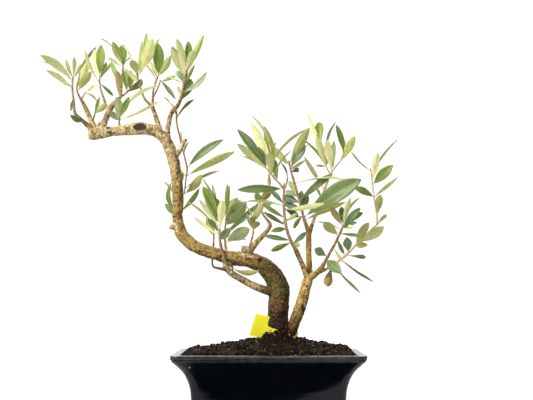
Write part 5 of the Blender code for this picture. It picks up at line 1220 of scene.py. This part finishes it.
def twig_material():
    made, tree, shader = new_material("young_stem")
    radius, paleness = read_attribute(tree, "twig_radius"), read_attribute(tree, "pale_stem")
    bark = blend(tree, from_to(tree, radius, 0.8 * MM, 2.0 * MM), linear(190, 158, 104), linear(150, 121, 80))
    aged = blend(tree, paleness, bark, linear(238, 208, 166))
    blotch = times(tree, from_to(tree, grain(tree, 2.2, 3.0), 0.40, 0.60, 0.75, 0.0),
                   from_to(tree, paleness, 0.0, 1.0, 1.0, 0.35))
    mottled = blend(tree, blotch, aged, tinted(tree, aged, linear(130, 106, 76)))
    fill(tree, shader, {
        "Base Color": mottled, "Roughness": 0.65, "Normal": bump(tree, grain(tree, 1.0), 0.4, 0.2)})
    return made


luck = random.Random(7)
shoot_shape, leaf_finish, twig_finish = shoot_tree(), leaf_material(), twig_material()
for spray in SPRAYS:
    shoot = shoot_lines(spray, luck)
    grow(shoot, shoot_shape, **{
        "Stalk": LEAF_STALK * MM, "Thickness": LEAF_THICK * MM, "Midrib": LEAF_RIB * MM,
        "Fold": 0.46, "Edge Curl": 0.16, "Wave": 0.10, "Stations": 24, "Around": 16, "Twig Sides": 10,
        "Leaf": leaf_finish, "Bark": twig_finish})
    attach(shoot, "root")
    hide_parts(spray.name)

# The soil: dark, crumbly potting soil that fills the pot and is heaped to the trunks, with plain holes
# where they stand. Crumbs of every size lie loose on the heap, with a few pale grains and chips of bark
# among them.
SOIL_EDGE, SEAT_GAP = POT_HEIGHT - 2.0, 0.3
EDGE_HEAP, HEAP, HEAP_POWER = 4.2, 19.2, 1.2
HEAP_SQUARE, HEAP_DROP = 10, 14        # how square the heap's outline is, and how steeply it drops at the pot
HEAP_ACROSS, HEAP_REACH, HEAP_DEPTH = 8.0, 92.0, 66.0
FOOT_MOUND = (9.0, -12.0, 8.2)
FOOT_MOUND_WIDTH, FOOT_MOUND_DEPTH = 15.4, 9.0
UNEVEN = ((1.9, 15.0), (1.3, 6.5), (1.0, 3.4), (0.6, 1.8))     # how high the heap's lumps are, and how wide
TRUNK_HOLE_SHARE, HOLE_POINTS, HOLE_VOXEL = 0.93, 26, 1.2
SOIL_POINTS_AROUND, SOIL_RINGS = 220, 44
CRUMBS_PER_SQUARE_METRE = 210000.0
CRUMB_SHAPES, CRUMB_LUMPS = 4, 2.2
# The layers: fine crumbs, clods, pale grains and bark chips. Each has its share of the count, its smallest
# and largest size, its lowest and highest tone, its stretch, its seed and how finely its crumbs are made.
CRUMB_LAYERS = (
    (1.00, 0.45, 1.6, 0.00, 0.58, (1.0, 1.0, 0.8), 3, 1),
    (0.11, 1.2, 2.7, 0.00, 0.50, (1.0, 0.9, 0.8), 5, 2),
    (0.06, 0.5, 1.3, 0.68, 1.00, (1.0, 0.9, 0.8), 8, 1),
    (0.08, 0.9, 2.6, 0.40, 0.90, (1.0, 0.3, 0.22), 13, 1),
)


def evenly_round(points, count):
    """That many points, evenly spaced along a closed outline."""
    ends = points[1:] + points[:1]
    lengths = [math.dist(a, b) for a, b in zip(points, ends)]
    spacing = sum(lengths) / count
    found, walked, at = [], 0.0, 0
    for i in range(count):
        while at < len(points) - 1 and walked + lengths[at] < i * spacing:
            walked += lengths[at]
            at += 1
        mix = (i * spacing - walked) / max(lengths[at], 1e-6)
        found.append((points[at][0] + (ends[at][0] - points[at][0]) * mix,
                      points[at][1] + (ends[at][1] - points[at][1]) * mix))
    return found


def heap_height(x, y):
    """The soil's level over its edge: an uneven heap that rises to the trunks, with a mound at their foot."""
    across, back = abs(x) / (RIM_WIDTH / 2 - RIM_FLAT), abs(y) / (RIM_DEPTH / 2 - RIM_FLAT)
    reach = min(1.0, (across ** HEAP_SQUARE + back ** HEAP_SQUARE) ** (1 / HEAP_SQUARE))
    off_peak = min(1.0, math.hypot((x - HEAP_ACROSS) / HEAP_REACH, y / HEAP_DEPTH))
    heap = EDGE_HEAP + (HEAP - EDGE_HEAP) * (1 - off_peak) ** HEAP_POWER
    mound_x, mound_y, mound = FOOT_MOUND
    off_mound = ((x - mound_x) / FOOT_MOUND_WIDTH) ** 8 + ((y - mound_y) / FOOT_MOUND_DEPTH) ** 2
    heap += mound * math.exp(-off_mound)
    heap += sum(height * noise.noise(Vector((x, y, 3.0)) / width) for height, width in UNEVEN)
    return heap * min(1.0, HEAP_DROP * (1 - reach))


def make_soil():
    """The body of the soil, with a mark on the points that crumbs may lie on."""
    rings = level_rings((evenly_round(points, SOIL_POINTS_AROUND), z)
                        for points, z in inner_sections(SEAT_GAP)[:-1])
    edge = evenly_round(pot_section(RIM_FLAT + SEAT_GAP, SOIL_EDGE, INNER_CORNER)[0], SOIL_POINTS_AROUND)
    for share in (1 - ring / SOIL_RINGS for ring in range(SOIL_RINGS)):
        inner = [(x * share, y * share) for x, y in edge]
        rings.append([Vector((x, y, SOIL_EDGE + heap_height(x, y))) * MM for x, y in inner])
    bm = bmesh.new()
    skin(bm, rings)
    soil = object_of(bm, "heaped_soil")
    feet = []
    for trunk in (MAIN_TRUNK, SECOND_TRUNK):
        buried = [point.copy() for point in smooth_route(trunk, TRUNK_STEP)[:HOLE_POINTS]]
        for point in buried:
            point.w *= TRUNK_HOLE_SHARE
        feet.append((buried,))
    cut_with(soil, one_skin(tubes(feet, "trunk_holes"), HOLE_VOXEL))
    marks = [float(vertex.co.z > (SOIL_EDGE + 0.5) * MM) for vertex in soil.data.vertices]
    store_on_points(soil.data, "crumbly", "FLOAT", marks)
    return soil


def crumb_layer():
    """Geometry nodes: crumbs strewn over the heap, of a few uneven shapes, turned and sized at random."""
    tree, given, result = new_tree(
        "crumb_layer", "Geometry", Geometry=("Ground",),
        Float=("Per Square Metre", "Smallest", "Largest", "Tone Low", "Tone High"),
        Vector=("Stretch",), Int=("Seed", "Subdivisions"))
    strewn = node_of(tree, "GeometryNodeDistributePointsOnFaces", {
        "Mesh": given["Ground"], "Selection": calc(tree, "GREATER_THAN", stored(tree, "crumbly"), 0.5),
        "Density": given["Per Square Metre"], "Seed": given["Seed"]}, distribute_method="RANDOM")
    shapes = node_of(tree, "GeometryNodeGeometryToInstance")
    for shape in range(CRUMB_SHAPES):
        ball = node_of(tree, "GeometryNodeMeshIcoSphere", {
            "Radius": 1.0, "Subdivisions": given["Subdivisions"]})
        lumps = node_of(tree, "ShaderNodeTexNoise", {"W": 3.7 * shape, "Scale": 1.3}, noise_dimensions="4D")
        centred = vector_calc(tree, "SUBTRACT", lumps.outputs["Color"], (0.5, 0.5, 0.5))
        uneven = node_of(tree, "GeometryNodeSetPosition", {
            "Geometry": ball.outputs["Mesh"], "Offset": vector_calc(tree, "SCALE", centred, CRUMB_LUMPS)})
        feed(tree, shapes.inputs[0], uneven.outputs[0])
    pick = node_of(tree, "FunctionNodeRandomValue", {"Seed": 11}, data_type="INT").outputs[2]
    turn = node_of(tree, "FunctionNodeRandomValue", {
        "Seed": 22, 1: (2 * math.pi,) * 3}, data_type="FLOAT_VECTOR")
    chance = node_of(tree, "FunctionNodeRandomValue", {"Seed": 33}, data_type="FLOAT").outputs[1]
    tone = node_of(tree, "FunctionNodeRandomValue", {
        "Seed": 44, 2: given["Tone Low"], 3: given["Tone High"]}, data_type="FLOAT").outputs[1]
    spread = minus(tree, given["Largest"], given["Smallest"])
    size = plus(tree, given["Smallest"], times(tree, calc(tree, "POWER", chance, 3.0), spread))
    crumbs = node_of(tree, "GeometryNodeInstanceOnPoints", {
        "Points": strewn.outputs["Points"], "Instance": shapes.outputs[0], "Pick Instance": True,
        "Instance Index": pick, "Rotation": turn.outputs[0],
        "Scale": vector_calc(tree, "SCALE", given["Stretch"], size)})
    toned = keep(tree, crumbs.outputs[0], "crumb_tone", tone, "INSTANCE")
    feed(tree, result, node_of(tree, "GeometryNodeRealizeInstances", {0: toned}).outputs[0])
    return tree


def strewn_tree():
    """Geometry nodes: the heap with its fine crumbs, clods, pale grains and bark chips."""
    layer = crumb_layer()
    tree, given, result = new_tree(
        "strewn_soil", "Geometry", Geometry=("Heap",), Float=("Crumbs",), Material=("Finish",))
    whole = node_of(tree, "GeometryNodeJoinGeometry", {0: given["Heap"]})
    for share, smallest, largest, low, high, stretch, seed, subdivisions in CRUMB_LAYERS:
        strewn = node_of(tree, "GeometryNodeGroup", {
            "Ground": given["Heap"], "Per Square Metre": times(tree, given["Crumbs"], share),
            "Smallest": smallest * MM, "Largest": largest * MM, "Tone Low": low, "Tone High": high,
            "Stretch": stretch, "Seed": seed, "Subdivisions": subdivisions}, node_tree=layer)
        feed(tree, whole.inputs[0], strewn.outputs[0])
    feed(tree, result, dressed(tree, whole, given["Finish"]).outputs[0])
    return tree


def soil_material():
    made, tree, shader = new_material("potting_soil")
    tone = read_attribute(tree, "crumb_tone")
    peaty = blend(tree, from_to(tree, grain(tree, 3.0, 4.0), 0.38, 0.62), linear(9, 7, 5), linear(30, 23, 16))
    crumb = blend(tree, from_to(tree, tone, 0.15, 0.62, 0.0, 0.6), peaty, linear(78, 58, 42))
    pale = blend(tree, from_to(tree, tone, 0.62, 0.95, 0.0, 0.9), crumb, linear(168, 142, 112))
    dusty = blend(tree, from_to(tree, grain(tree, 0.9), 0.55, 0.75, 0.0, 0.25), pale,
                  blend(tree, 0.35, pale, linear(120, 100, 82)))
    fill(tree, shader, {
        "Base Color": dusty, "Roughness": 0.92, "Specular IOR Level": 0.12,
        "Normal": bump(tree, grain(tree, 0.8, 3.0), 0.8, 0.4)})
    return made


soil = make_soil()
grow(soil, strewn_tree(), Crumbs=CRUMBS_PER_SQUARE_METRE, Finish=soil_material())
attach(soil, "root")
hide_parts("soil")

# The label: a loop-lock plant label in thin bright yellow plastic, one piece. The plate is bare, its neck
# is drawn to a point, and the strap runs round both trunks, back to the neck, and ends in a short tail.
PLATE = ((256.0, 313.6), (270.0, 316.6), (263.4, 338.6), (249.2, 335.2))
NECK = (
    (266.0, 325.4), (272.5, 328.2), (277.0, 329.6), (278.6, 330.9), (276.4, 332.2), (270.0, 332.6),
    (263.0, 331.0),
)
PLATE_DEPTH, PLATE_THICK, NECK_THICK = -13.8, 0.8, 1.0
NECK_SPOT = (270.6, 330.4)
STRAP_HALF_WIDTH, STRAP_THICK = 1.3, 0.8
STRAP = (
    (268.0, 329.2, -13.8), (265.0, 329.3, -10.0), (263.9, 329.4, -3.5), (265.3, 329.5, 4.0),
    (270.0, 329.8, 10.6), (278.0, 330.2, 12.6), (287.0, 330.8, 10.6), (294.0, 331.6, 6.0),
    (297.6, 332.4, 0.4), (297.2, 334.0, -4.8), (294.4, 337.2, -9.8), (288.0, 338.0, -13.4),
    (281.0, 335.2, -14.4), (276.0, 332.0, -14.2), (270.5, 330.6, -13.8),
)
STRAP_STEP = 1.2
LABEL_VOXEL = 0.3


def sheet(bm, corners, thick):
    """A flat sheet that faces the viewer, with its corners given as places of the view."""
    middle = [place(across, down, PLATE_DEPTH) for across, down in corners]
    half = Vector((0, thick / 2 * MM, 0))
    skin(bm, [[spot - half for spot in middle], [spot + half for spot in middle]])


def strap(bm):
    """The strap as a flat band along its route."""
    line = [place(*point[:3]) for point in smooth_route([(*point, 0.0) for point in STRAP], STRAP_STEP)]
    high = Vector((0, 0, STRAP_HALF_WIDTH * MM))
    rings = []
    for before, point, after in zip(line[:1] + line, line, line[1:] + line[-1:]):
        along = after - before
        out = Vector((along.y, -along.x, 0)).normalized() * STRAP_THICK / 2 * MM
        rings.append([point + out + high, point - out + high, point - out - high, point + out - high])
    skin(bm, rings)


def label_material():
    made, tree, shader = new_material("yellow_label")
    where = position(tree)
    soil_line = place(*NECK_SPOT, PLATE_DEPTH).z - 4 * MM
    smudge = times(tree, from_to(tree, where["Z"], soil_line - 5 * MM, soil_line + 3 * MM, 1.0, 0.0),
                   from_to(tree, grain(tree, 2.4, 3.0), 0.50, 0.66))
    cloud = from_to(tree, grain(tree, 6.0, 1.0), 0.3, 0.7)
    yellow = blend(tree, cloud, linear(255, 238, 8), linear(250, 246, 30))
    greenish = blend(tree, from_to(tree, where["X"], 18 * MM, 28 * MM), yellow, linear(214, 222, 30))
    # An orange spot painted on the neck where the strap meets it.
    orange_spot = placed(tree, ROUND_SPOT, Centre=place(*NECK_SPOT, PLATE_DEPTH), Inner=0.7 * MM, Outer=1.5 * MM)
    orange_spotted = blend(tree, orange_spot, greenish, linear(226, 150, 20))
    fill(tree, shader, {
        "Base Color": blend(tree, times(tree, smudge, 0.8), orange_spotted, linear(96, 74, 48)),
        "Roughness": from_to(tree, smudge, 0.0, 1.0, 0.32, 0.7)})
    return made


bm = bmesh.new()
sheet(bm, PLATE, PLATE_THICK)
sheet(bm, NECK, NECK_THICK)
strap(bm)
label = one_skin(object_of(bm, "loop_label"), LABEL_VOXEL)
label.data.materials.append(label_material())
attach(label, "root")
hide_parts("plant_label")
